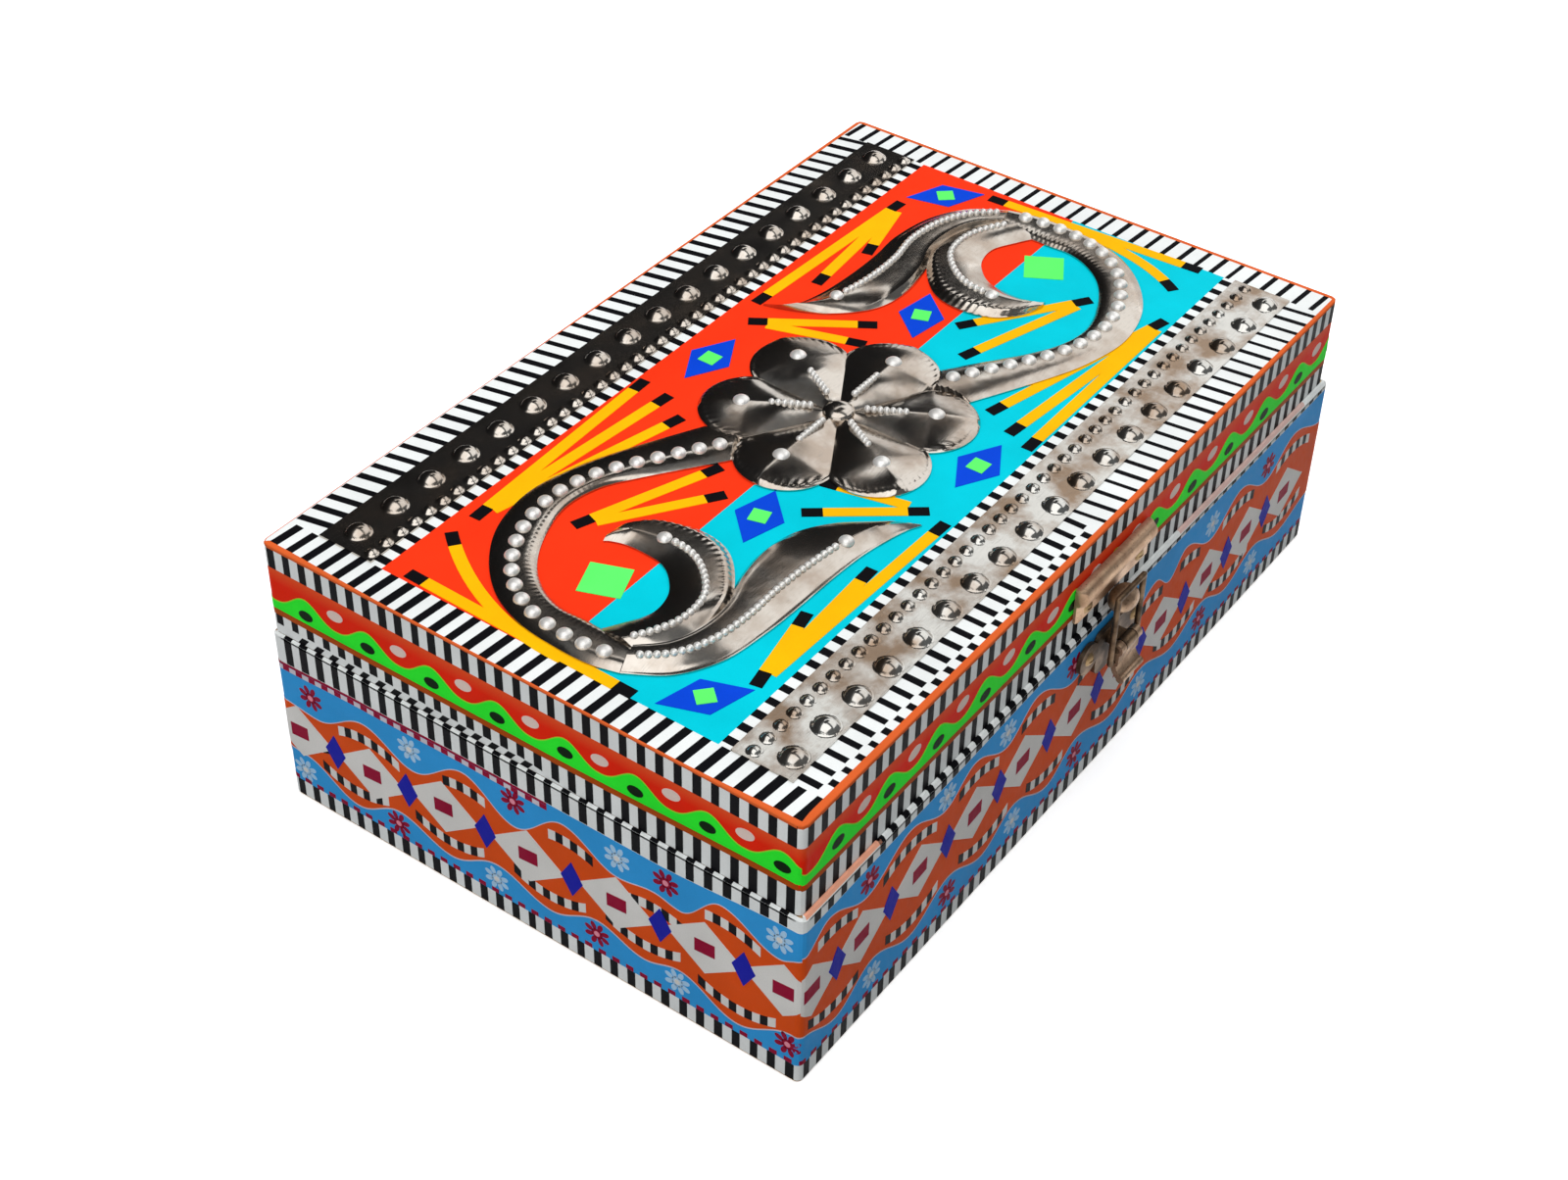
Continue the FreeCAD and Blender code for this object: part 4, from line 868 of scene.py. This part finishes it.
def even_layout(length):
    """The waves, diamonds and flowers of a side that the photograph doesn't show."""
    periods = round(length / EVEN_PERIOD)
    step = length / periods
    upper = [(0, EVEN_UPPER[0])]
    lower = [(0, EVEN_LOWER[0])]
    flowers = []
    for k in range(periods):
        upper += [(step * (k + 0.5), EVEN_UPPER[1]), (step * (k + 1), EVEN_UPPER[0])]
        lower += [(step * (k + 0.5), EVEN_LOWER[1]), (step * (k + 1), EVEN_LOWER[0])]
        if k:
            flowers += [(step * k, EVEN_FLOWERS[0], k % 2), (step * k, EVEN_FLOWERS[1], (k + 1) % 2)]
    count = round(length / EVEN_PITCH)
    diamonds = [(length / count * (k + 0.5), EVEN_DIAMOND) for k in range(count)]
    return upper, lower, diamonds, flowers


def layouts():
    return [
        (FRONT_UPPER, FRONT_LOWER, FRONT_DIAMONDS, FRONT_FLOWERS),
        even_layout(BASE[3] - BASE[2]),
        even_layout(BASE[1] - BASE[0]),
        (END_UPPER, END_LOWER, END_DIAMONDS, END_FLOWERS),
    ]


def lozenge(solid, place, length, at, half, low, high):
    """A diamond, cut off at the corners of its side."""
    middle, z = at
    start = max(0.0, middle - half[0])
    end = min(length, middle + half[0])
    split = min(end, max(start, middle))

    def reach(s):
        return half[1] * max(LOZENGE_TIP, 1 - abs(s - middle) / half[0])
    for a, b in ((start, split), (split, end)):
        if b - a > LEAST_RUN:
            solid.band(place, a, b, lambda s: z - reach(s), lambda s: z + reach(s), low, high)


def square(solid, place, length, at):
    """A small square that leans a little, cut off at the corners of its side."""
    middle, z = at
    wide, tall = SQUARE_HALF

    def lean(s):
        return z + SQUARE_LEAN * (s - middle)
    solid.band(place, max(0.0, middle - wide), min(length, middle + wide), lambda s: lean(s) - tall,
               lambda s: lean(s) + tall, DIAMOND, TOPMOST)


def dash_arc(solids, place, length, ribbon, crest, down):
    """A bent row of dashes that follows a swelling of the ribbon, inside its edge."""
    middle, z = crest
    reach = DASHES * DASH / 2

    def outer(s):
        return z - down * (ARC_INSET + ARC_BEND * ((s - middle) / reach) ** 2)

    def inner(s):
        return outer(s) - down * DASH_HEIGHT
    lower, upper = (inner, outer) if down > 0 else (outer, inner)
    for k in range(DASHES):
        start = middle - reach + k * DASH
        end = start + DASH
        if start < DASH_CORNER or end > length - DASH_CORNER:
            continue
        if all(down * (ribbon(s) - outer(s)) >= DASH_MARGIN for s in (start, end)):
            solids[k % 2].band(place, start, end, lower, upper, RIBBON, RIBBON + BAR)


def disc(solid, place, at, radii, low, high, points=14, turn=0.0):
    c, n = math.cos(turn), math.sin(turn)
    outline = []
    for k in range(points):
        angle = 2 * math.pi * k / points
        u, v = radii[0] * math.cos(angle), radii[1] * math.sin(angle)
        outline.append((at[0] + u * c - v * n, at[1] + u * n + v * c))
    solid.slab(outline, place, low, high)


def flower(petals, middles, place, s, z):
    out, half_length, half_width = (FLOWER_RADIUS * share for share in FLOWER_PETAL)
    heart, eye = FLOWER_RADIUS * FLOWER_HEART, FLOWER_RADIUS * FLOWER_EYE
    for k in range(FLOWER_PETALS):
        angle = 2 * math.pi * (k + 0.5) / FLOWER_PETALS
        at = (s + out * math.cos(angle), z + out * math.sin(angle))
        disc(petals, place, at, (half_length, half_width), FILM, OUTLINE, points=10, turn=angle)
    disc(petals, place, (s, z), (heart, heart), FILM, OUTLINE)
    disc(middles, place, (s, z), (eye, eye), OUTLINE, RIBBON, points=10)


def edge_dashes(solids, place, start, end, low, high):
    """A row of small dashes along an edge of the blue vinyl, shared out among some solids in turn."""
    count = round((end - start) / DASH_PITCH) * len(solids)
    pitch = (end - start) / count
    wide = min(pitch, DASH_WIDTH)
    for k in range(count):
        at = start + pitch * k
        solids[k % len(solids)].band(place, at, at + wide, low, high, FILM, OUTLINE)


# The slot, the replaced solids and the look of each colour of the pattern
PATTERN = {
    "ribbon": ("vinyl_orange", ("base_orange_ribbon",), None),
    "outline": ("vinyl_white", (), "vinyl_pale_edge"),
    "diamonds": ("vinyl_grey", ("base_grey_diamonds",), None),
    "links": ("vinyl_navy", ("base_blue_links",), None),
    "squares": ("vinyl_crimson", (), "vinyl_deep_red"),
    "white": ("vinyl_white", (), "vinyl_grey"),
    "black": ("vinyl_black", (), None),
    "sky": ("vinyl_white", (), "vinyl_sky"),
    "deep": ("vinyl_crimson", (), "vinyl_deep_red"),
    "pink": ("vinyl_white", (), "vinyl_pink"),
    "dashes": ("vinyl_crimson", (), "vinyl_deep_red"),
}


def base_pattern():
    """The ribbon on the blue vinyl, with all the cut-outs on it and round it."""
    made = {name: Solid() for name in PATTERN}
    dashes = (made["black"], made["white"])
    low, high = (span("base_blue_wrap")[0].z + rise for rise in EDGE_DASHES)
    for (turn, place, length), (upper, lower, diamonds, flowers) in zip(sides(BASE), layouts()):
        top, bottom = eased(upper), eased(lower)
        made["outline"].band(place, 0, length, lambda s: bottom(s) - RIBBON_EDGE[0],
                             lambda s: top(s) + RIBBON_EDGE[1], FILM, OUTLINE, BAR_STEP)
        made["ribbon"].band(place, 0, length, bottom, top, FILM, RIBBON, BAR_STEP)
        for at in diamonds:
            lozenge(made["diamonds"], place, length, at, DIAMOND_HALF, RIBBON, DIAMOND)
            square(made["squares"], place, length, at)
        for a, b in zip(diamonds, diamonds[1:]):
            between = ((a[0] + b[0]) / 2, (a[1] + b[1]) / 2)
            lozenge(made["links"], place, length, between, LINK_HALF, RIBBON, TOPMOST)
        for wave, ribbon, down in ((upper, top, 1), (lower, bottom, -1)):
            for before, crest in zip(wave, wave[1:-1]):
                if down * (crest[1] - before[1]) > 0:
                    dash_arc(dashes, place, length, ribbon, crest, down)
        for s, z, deep in flowers:
            petals, middles = ("deep", "pink") if deep else ("sky", "white")
            flower(made[petals], made[middles], place, s, z)
        edge_dashes([made["dashes"]], place, 0, length, level(low), level(high))
        if turn == LEFT:
            tape = eased(TAPE_EDGES[turn])
            made["dashes"].band(place, 0, DASHED_END, lambda s: tape(s) - DASHED_LINE, tape, FILM, OUTLINE)
            edge_dashes([made["outline"], made["dashes"]], place, 0, DASHED_END,
                        lambda s: tape(s) - DASHED_ROW[0], lambda s: tape(s) - DASHED_ROW[1])
    for name, (slot, replaced, look) in PATTERN.items():
        piece("base_pattern_" + name, made[name], "base", slot, replaced, look)


def lid_pattern():
    """The green wave on the lid sides, its pale edge, and the ovals above and under it."""
    wave, edge, pale, dark = Solid(), Solid(), Solid(), Solid()
    for turn, place, length in sides(LID):
        foot = eased(WAVE_FEET[turn])
        pitch, first = WAVE_PITCHES[turn], WAVE_FIRST[turn]

        def crest(s):
            swell = (0.5 + 0.5 * math.cos(2 * math.pi * (s - first) / pitch)) ** WAVE_SHARPNESS
            return foot(s) + WAVE_LOW + (WAVE_HIGH - WAVE_LOW) * swell
        wave.band(place, 0, length, lambda s: foot(s) + WAVE_EDGE[0], crest, FILM, RIBBON, BAR_STEP)
        edge.band(place, 0, length, foot, lambda s: crest(s) + WAVE_EDGE[1], FILM, OUTLINE, BAR_STEP)
        for k in range(round(length / pitch)):
            s = first + pitch * k
            drift = CHANCE.uniform(-OVAL_UNEVEN, OVAL_UNEVEN)
            at = (s, foot(s) + DARK_OVAL_HEIGHT + drift)
            disc(dark, place, at, DARK_OVAL, RIBBON, DIAMOND, OVAL_POINTS, DARK_OVAL_LEAN)
            s += pitch / 2
            if s < length - OVAL_MARGIN:
                at = (s, foot(s) + PALE_OVAL_HEIGHT - drift)
                disc(pale, place, at, PALE_OVAL, FILM, OUTLINE, OVAL_POINTS, PALE_OVAL_LEAN)
    piece("lid_green_wave_cut", wave, "lid", "vinyl_green", ("lid_green_wave",))
    piece("lid_wave_edge", edge, "lid", "vinyl_green", (), "vinyl_leaf_edge")
    piece("lid_dark_ovals", dark, "lid", "vinyl_green", (), "vinyl_leaf_dark")
    piece("lid_pale_ovals", pale, "lid", "vinyl_grey", (), "vinyl_pale_oval")


# Pressed steel

def steel_piece(name, solid, replaces=(), look=None, smooth_below=40):
    piece(name, solid, "lid", "pressed_steel", replaces, look, smooth_below)


def on_lid(x, y):
    """A place of the drawing, on the lid."""
    return ORNAMENT_MIDDLE + Vector((x * STRETCH_X, y * STRETCH_Y))


def turned(at, turn_half):
    """A place, turned half round about the middle of the ornaments or not."""
    return 2 * ORNAMENT_MIDDLE - at if turn_half else at


def through(values, t):
    """A smooth curve through a list of numbers, at a share of its length."""
    last = len(values) - 1
    k = min(last - 1, int(t * last))
    u = t * last - k
    a, b, c, d = (values[min(last, max(0, k + j))] for j in (-1, 0, 1, 2))
    bend = (2 * a - 5 * b + 4 * c - d) * u * u + (3 * b - a - 3 * c + d) * u ** 3
    return 0.5 * (2 * b + (c - a) * u + bend)


def sections_at(sections, t):
    """The two edges and the ridge of an ornament, part of the way along it."""
    outer, inner = (on_lid(*(through([s[edge][axis] for s in sections], t) for axis in (0, 1)))
                    for edge in (0, 1))
    ridge = outer.lerp(inner, through([s[2] for s in sections], t))
    return outer, inner, ridge


def even_shares(sections, count):
    """Shares at which the ridge is cut into equal lengths, and its whole length."""
    fine = 400
    places = [sections_at(sections, k / fine)[2] for k in range(fine + 1)]
    lengths = [0.0]
    for a, b in zip(places, places[1:]):
        lengths.append(lengths[-1] + (b - a).length)
    shares, k = [], 0
    for step in range(count + 1):
        want = lengths[-1] * step / count
        while k < fine - 1 and lengths[k + 1] < want:
            k += 1
        shares.append((k + (want - lengths[k]) / max(1e-9, lengths[k + 1] - lengths[k])) / fine)
    return shares, lengths[-1]


def ridge_length(sections):
    return even_shares(sections, 1)[1]


def from_axis(theta):
    """The angle from the axis of the nearest petal."""
    petal = 2 * math.pi / PETALS
    return theta - round(theta / petal) * petal


def petal_edge(angle):
    """The reach of the rosette's outline at an angle from the axis of a petal."""
    half_chord = math.sqrt(PETAL_RADIUS ** 2 - (PETAL_REACH * math.sin(angle)) ** 2)
    return PETAL_REACH * math.cos(angle) + half_chord


def under_rosette(at):
    x, y = (at - ORNAMENT_MIDDLE) / MOTIF_SCALE
    return math.hypot(x, y) < petal_edge(from_axis(math.atan2(y, x)))


def pressed_form(solid, sections, profile, turn_half):
    """A pressed ornament: rows of points across it, shaped by a profile of each flank."""
    shares, length = even_shares(sections, math.ceil(ridge_length(sections) / RUN_STEP))
    rows = []
    for k, t in enumerate(shares):
        outer, inner, ridge = sections_at(sections, t)
        travel = length * k / (len(shares) - 1)
        row = []
        for side, edge, steps in ((0, outer, ACROSS[::-1]), (1, inner, ACROSS[1:])):
            width = (edge - ridge).length
            for q in steps:
                at = ridge.lerp(edge, q)
                z = RIM / 2 if under_rosette(at) else profile(side, q, width, travel, travel / length)
                x, y = turned(at, turn_half)
                row.append((x, y, STEEL_SEAT + z))
        rows.append(row)
    solid.relief(rows, STEEL_SEAT)


def tip_height(width, rise):
    """The height of a ridge, lower where the ornament runs out in a tip."""
    return min(rise, RIM + width * TIP_SLOPE)


def serrated(travel, q, depth):
    fade = smooth_step(*SERRATION_START, q) * (1 - smooth_step(*SERRATION_END, q))
    return depth * math.sin(2 * math.pi * travel / SERRATION_PITCH) * fade


def domed(q, rise, bend):
    """A flank that falls from its ridge to the rim, ever more steeply."""
    return RIM + (rise - RIM) * (1 - q ** bend)


def shelved(q, rise, shoulder, lip):
    """A nearly level flank with a small lip at a shoulder, beyond which it turns down."""
    fall = 1 - smooth_step(shoulder, 1.0, q)
    return RIM + (rise - RIM) * (1 - SHELF_FALL * q * q) * fall + lip * ripple(q, shoulder, SHELF_LIP_REACH)


def stem_profile(side, q, width, travel, share):
    rise = tip_height(width, STEM_RISE)
    if side == 0:
        return domed(q, rise, STEM_OUTER_BEND)
    bend = STEM_INNER_BENDS[0] + STEM_INNER_BENDS[1] * smooth_step(*STEM_TURN, share)
    return domed(q, rise, bend) + serrated(travel, q, STEM_TEETH * smooth_step(*STEM_TOOTHED, share))


def leaf_profile(side, q, width, travel, share):
    rise = tip_height(width, LEAF_RISE)
    if side == 0:
        tip = smooth_step(*LEAF_TIP, share)
        shelf = shelved(q, rise, LEAF_SHOULDER, LEAF_LIP)
        return tip * domed(q, rise, LEAF_TIP_BEND) + (1 - tip) * shelf
    groove = LEAF_GROOVE * ripple(q, *LEAF_GROOVE_AT) * smooth_step(*LEAF_GROOVE_GROWTH, width)
    return domed(q, rise, LEAF_INNER_BEND) - groove


def curl_profile(side, q, width, travel, share):
    rise = tip_height(width, LEAF_RISE)
    if side == 0:
        return domed(q, rise, CURL_OUTER_BEND)
    toothed = smooth_step(*CURL_TOOTHED, share) * (1 - smooth_step(*CURL_TOOTHLESS, share))
    root = 1 - smooth_step(*CURL_ROOT, share)
    flank = root * domed(q, rise, CURL_ROOT_BEND) + (1 - root) * shelved(q, rise, CURL_SHOULDER, 0.0)
    return flank + serrated(travel, q, CURL_TEETH) * toothed


def cord(solid, places, rise, turn_half):
    """A twisted cord: a row of slanting eggs along a line of places."""
    for a, b in zip(places, places[1:]):
        x, y = turned((a + b) / 2, turn_half)
        along = (b - a).length * CORD_OVERLAP
        heading = math.atan2(b.y - a.y, b.x - a.x) + CORD_TWIST
        solid.bead((x, y, STEEL_SEAT + rise), along, CORD_RADIUS, CORD_RADIUS, heading, segments=10, belts=6)


def ridge_cord(solid, sections, start, end, rise, turn_half):
    count = round(ridge_length(sections) / CORD_PITCH)
    shares = even_shares(sections, count)[0][round(start * count):round(end * count) + 1]
    cord(solid, [sections_at(sections, t)[2] for t in shares], rise, turn_half)


def round_bead(solid, at, radius, rise):
    solid.bead((at.x, at.y, STEEL_SEAT + rise), radius, radius, radius * BEAD_FLATNESS)


def scrolls():
    """The two scrolls: a beaded stem and a forked leaf with its curl, the right one turned half round."""
    right_leaf = LEAF_SECTIONS[:-len(RIGHT_LEAF_END)] + RIGHT_LEAF_END
    for side, turn_half, leaf_sections in (("left", False, LEAF_SECTIONS), ("right", True, right_leaf)):
        stem, beads = Solid(), Solid()
        pressed_form(stem, [STEM_ROOT] + STEM_SECTIONS, stem_profile, turn_half)
        count = round(ridge_length(STEM_SECTIONS) / STEM_BEAD_PITCH)
        for share in even_shares(STEM_SECTIONS, count)[0][:-1]:
            at = turned(sections_at(STEM_SECTIONS, share)[2], turn_half)
            round_bead(beads, at, STEM_BEAD, STEM_RISE - STEM_BEAD_SUNK)
        steel_piece(side + "_stem_pressing", stem, (side + "_scroll_stem",))
        steel_piece(side + "_stem_beads", beads, (), "white_highlight_steel")
        leaf, beads = Solid(), Solid()
        for sections, profile in ((leaf_sections, leaf_profile), (CURL_SECTIONS, curl_profile)):
            pressed_form(leaf, sections, profile, turn_half)
            ridge_cord(beads, sections, *LEAF_CORD, LEAF_RISE, turn_half)
            share = even_shares(sections, 100)[0][round(100 * LEAF_BEAD_SHARE)]
            at = turned(sections_at(sections, share)[2], turn_half)
            round_bead(beads, at, LEAF_BEAD, LEAF_RISE - LEAF_BEAD_SUNK)
        steel_piece(side + "_leaf_pressing", leaf, (side + "_forked_leaf",))
        steel_piece(side + "_leaf_beads", beads, (), "white_highlight_steel")


def petal_height(r, angle, edge):
    """The height of the rosette at a place, falling to the valleys between petals and to the rim."""
    u, v = r * math.cos(angle), abs(r * math.sin(angle))
    half = u * math.tan(math.pi / PETALS)
    if u > PETAL_REACH:
        half = min(half, math.sqrt(max(0.01, PETAL_RADIUS ** 2 - (u - PETAL_REACH) ** 2)))
    t = min(1.0, v / max(0.05, half))
    crown = HUB_RISE + (PETAL_RISE - HUB_RISE) * smooth_step(*PETAL_GROWTH, u)
    fall_start = PETAL_BEAD_REACH - PETAL_FALL
    run_out = max(0.0, (u - fall_start) / (PETAL_REACH + PETAL_RADIUS - fall_start))
    crown = RIM + (crown - RIM) * math.sqrt(max(0.0, 1 - min(1.0, run_out) ** 2))
    from_rim = edge - r
    teeth = math.sin(2 * math.pi * r * angle / SERRATION_PITCH) * ripple(from_rim, *PETAL_TEETH_AT)
    z = RIM + (crown - RIM) * (1 - t ** PETAL_BEND) + PETAL_LIP * ripple(from_rim, *PETAL_LIP_AT)
    return max(PETAL_LEAST, z + PETAL_TEETH * teeth)


def rosette():
    """Six petals with a bead and a cord each, round a boss."""
    solid, beads = Solid(), Solid()
    rings = []
    for belt in range(1, ROSETTE_BELTS + 1):
        ring = []
        for k in range(ROSETTE_SPOKES):
            theta = 2 * math.pi * k / ROSETTE_SPOKES
            angle = from_axis(theta)
            edge = petal_edge(angle)
            r = edge * belt / ROSETTE_BELTS
            at = ORNAMENT_MIDDLE + Vector((math.cos(theta), math.sin(theta))) * r * MOTIF_SCALE
            ring.append((at.x, at.y, STEEL_SEAT + petal_height(r, angle, edge)))
        rings.append(ring)
    solid.loft(rings + [[(x, y, STEEL_SEAT) for x, y, _ in rings[-1]]])
    for k in range(PETALS):
        theta = 2 * math.pi * k / PETALS
        out = Vector((math.cos(theta), math.sin(theta))) * MOTIF_SCALE
        round_bead(beads, ORNAMENT_MIDDLE + out * PETAL_BEAD_REACH, PETAL_BEAD, PETAL_RISE - PETAL_BEAD_SUNK)
        places = [ORNAMENT_MIDDLE + out * r for r in stations(*PETAL_CORD, CORD_PITCH)]
        cord(beads, places, PETAL_RISE - PETAL_CORD_SUNK, False)
    middle = (*ORNAMENT_MIDDLE, STEEL_SEAT + BOSS_MIDDLE)
    solid.bead(middle, BOSS_RADIUS, BOSS_RADIUS, BOSS_RISE - BOSS_MIDDLE, segments=24, belts=14)
    steel_piece("rosette_pressing", solid, ("rosette",))
    steel_piece("rosette_beads", beads, (), "white_highlight_steel")


def cap(distance, radius, rise):
    """The height of a round-topped stud at a distance from its middle."""
    if distance > radius:
        return 0.0
    ball = (radius * radius + rise * rise) / (2 * rise)
    return math.sqrt(ball * ball - distance * distance) - ball + rise


def studded_strip(side, look, pitch, stud_inset, pearl_inset):
    """A steel strip with a row of studs by the border tape and a row of pearls by the field."""
    low, high = span(side + "_studded_strip")
    length = high.x - low.x
    stud_step = length / round(length / pitch)
    pearl_step = length / round(length / PEARL_PITCH)
    stud_y, pearl_y = high.y - stud_inset, low.y + pearl_inset
    if side == "front":
        stud_y, pearl_y = low.y + stud_inset, high.y - pearl_inset

    def nearest(x, step):
        return low.x + step * (math.floor((x - low.x) / step) + 0.5)

    def height(x, y):
        stud = math.hypot(x - nearest(x, stud_step), y - stud_y)
        pearl = math.hypot(x - nearest(x, pearl_step), y - pearl_y)
        return FILM + RIM + cap(stud, STUD_RADIUS, STUD_RISE) + cap(pearl, PEARL_RADIUS, PEARL_RISE)

    solid = Solid()
    across = stations(low.y, high.y, STRIP_STEP)
    along = stations(low.x, high.x, STRIP_STEP)
    solid.relief([[(x, y, LID_TOP + height(x, y)) for y in across] for x in along], LID_TOP)
    steel_piece(side + "_strip_pressing", solid, (side + "_studded_strip",), look, smooth_below=50)


# Latch

def strike_plate():
    """The plate on the lid: a strip with a round swelling along its top, and a rounded hook for the wire."""
    low, high = span("latch_strike_plate")
    foot = high.z - STRIKE_DEPTH
    section = [(0, foot), (STRIKE_PLATE, foot)]
    for angle in stations(0, math.pi, STRIKE_SWELL_STEP):
        lift = STRIKE_PLATE + STRIKE_SWELL * math.sin(angle)
        section.append((lift, high.z - STRIKE_SWELL_HEIGHT * (1 + math.cos(angle)) / 2))
    section.append((0, high.z))
    ends = [(low.x, STRIKE_END_SHARE), (low.x + STRIKE_END, 1.0), (high.x - STRIKE_END, 1.0),
            (high.x, STRIKE_END_SHARE)]
    plate, hook = Solid(), Solid()
    plate.loft([[(x, high.y - lift * full, z) for lift, z in section] for x, full in ends])
    along, across, up = HOOK_HALF
    at = ((low.x + high.x) / 2, high.y - STRIKE_PLATE - across + HOOK_SUNK, high.z - HOOK_SHELF - up)
    hook.bead(at, along, across, up, segments=28, belts=16)
    # The strip takes the tan copy of the brass, with painted light; the hook takes the brown copy, between
    # painted light and painted shade.
    piece("latch_strike_strip", plate, "lid", "antique_brass", ("latch_strike_plate",), "tan_brass",
          smooth_below=40)
    piece("latch_strike_hook", hook, "lid", "antique_brass", (), "brown_brass", smooth_below=40)


# Stage, light and camera

def panel(name, corners, material):
    mesh = bpy.data.meshes.new(name)
    mesh.from_pydata(corners, [], [[0, 1, 2, 3]])
    mesh.materials.append(material)
    made = bpy.data.objects.new(name, mesh)
    bpy.context.scene.collection.objects.link(made)
    return made


def card_black():
    black = {"Base Color": (0.012, 0.012, 0.013, 1.0), "Roughness": 0.9, "Specular IOR Level": 0.1}
    return Finish("card_black").done(black)


def floor_paper():
    """White paper where it is seen or mirrored. It throws little light back on the sides of the box."""
    finish = Finish("floor_paper")
    path = finish.node("LightPath").outputs
    seen = path["Is Camera Ray"]
    for other in ("Is Glossy Ray", "Is Transmission Ray"):
        seen = finish.maths("MAXIMUM", seen, path[other])
    grain = finish.ranged(finish.noise(400.0), 0.3, 0.7, 0.97, 1.0)
    paper = finish.mixed(grain, linear(236, 236, 236), linear(246, 246, 246))
    return finish.done({
        "Base Color": finish.mixed(seen, FLOOR_BOUNCE, paper),
        "Emission Color": (1.0, 1.0, 1.0, 1.0),
        "Emission Strength": finish.maths("MULTIPLY", seen, FLOOR_GLOW),
        "Roughness": 0.8,
        "Specular IOR Level": 0.1,
    })


def stage():
    corners = [(x * FLOOR_HALF, y * FLOOR_HALF, 0) for x, y in ((-1, -1), (1, -1), (1, 1), (-1, 1))]
    panel("floor", corners, floor_paper())
    black = card_black()
    for name, corners in CARDS.items():
        card = panel(name, corners, black)
        card.visible_camera = False
        card.visible_diffuse = False
        card.visible_shadow = False


def soft_light(name, at, aim, width, depth, power, mirrored):
    data = bpy.data.lights.new(name, "AREA")
    data.shape = "RECTANGLE"
    data.size = width
    data.size_y = depth
    data.energy = power
    made = bpy.data.objects.new(name, data)
    made.location = at
    made.rotation_euler = (Vector(aim) - Vector(at)).to_track_quat("-Z", "Y").to_euler()
    made.visible_camera = False
    made.visible_glossy = mirrored
    bpy.context.scene.collection.objects.link(made)


def lights():
    world = bpy.data.worlds.new("studio")
    world.use_nodes = True
    background = world.node_tree.nodes["Background"]
    background.inputs["Color"].default_value = SKY_COLOUR
    background.inputs["Strength"].default_value = SKY_STRENGTH
    bpy.context.scene.world = world
    for name, settings in LIGHTS.items():
        soft_light(name, *settings)
    bpy.context.scene.view_settings.view_transform = "Standard"


def camera():
    data = bpy.data.cameras.new("camera")
    data.sensor_width = SENSOR
    data.lens = CAMERA_LENS
    data.clip_start = CAMERA_NEAR
    made = bpy.data.objects.new("camera", data)
    heading = Vector((math.sin(CAMERA_HEADING), math.cos(CAMERA_HEADING), 0))
    forward = math.cos(CAMERA_DIP) * heading - math.sin(CAMERA_DIP) * Vector((0, 0, 1))
    right = forward.cross(Vector((0, 0, 1))).normalized()
    down = forward.cross(right)
    across = math.cos(CAMERA_ROLL) * right + math.sin(CAMERA_ROLL) * down
    up = forward.cross(across) * -1
    turn = Matrix((across, up, -forward)).transposed()
    made.matrix_world = Matrix.Translation(CAMERA_AT) @ turn.to_4x4()
    bpy.context.scene.collection.objects.link(made)
    bpy.context.scene.camera = made


dress_solids()
lid_edges()
lid_side_tapes()
lid_top_tapes()
base_tapes()
base_pattern()
lid_pattern()
scrolls()
rosette()
for side, settings in STRIPS.items():
    studded_strip(side, *settings)
strike_plate()
stage()
lights()
camera()
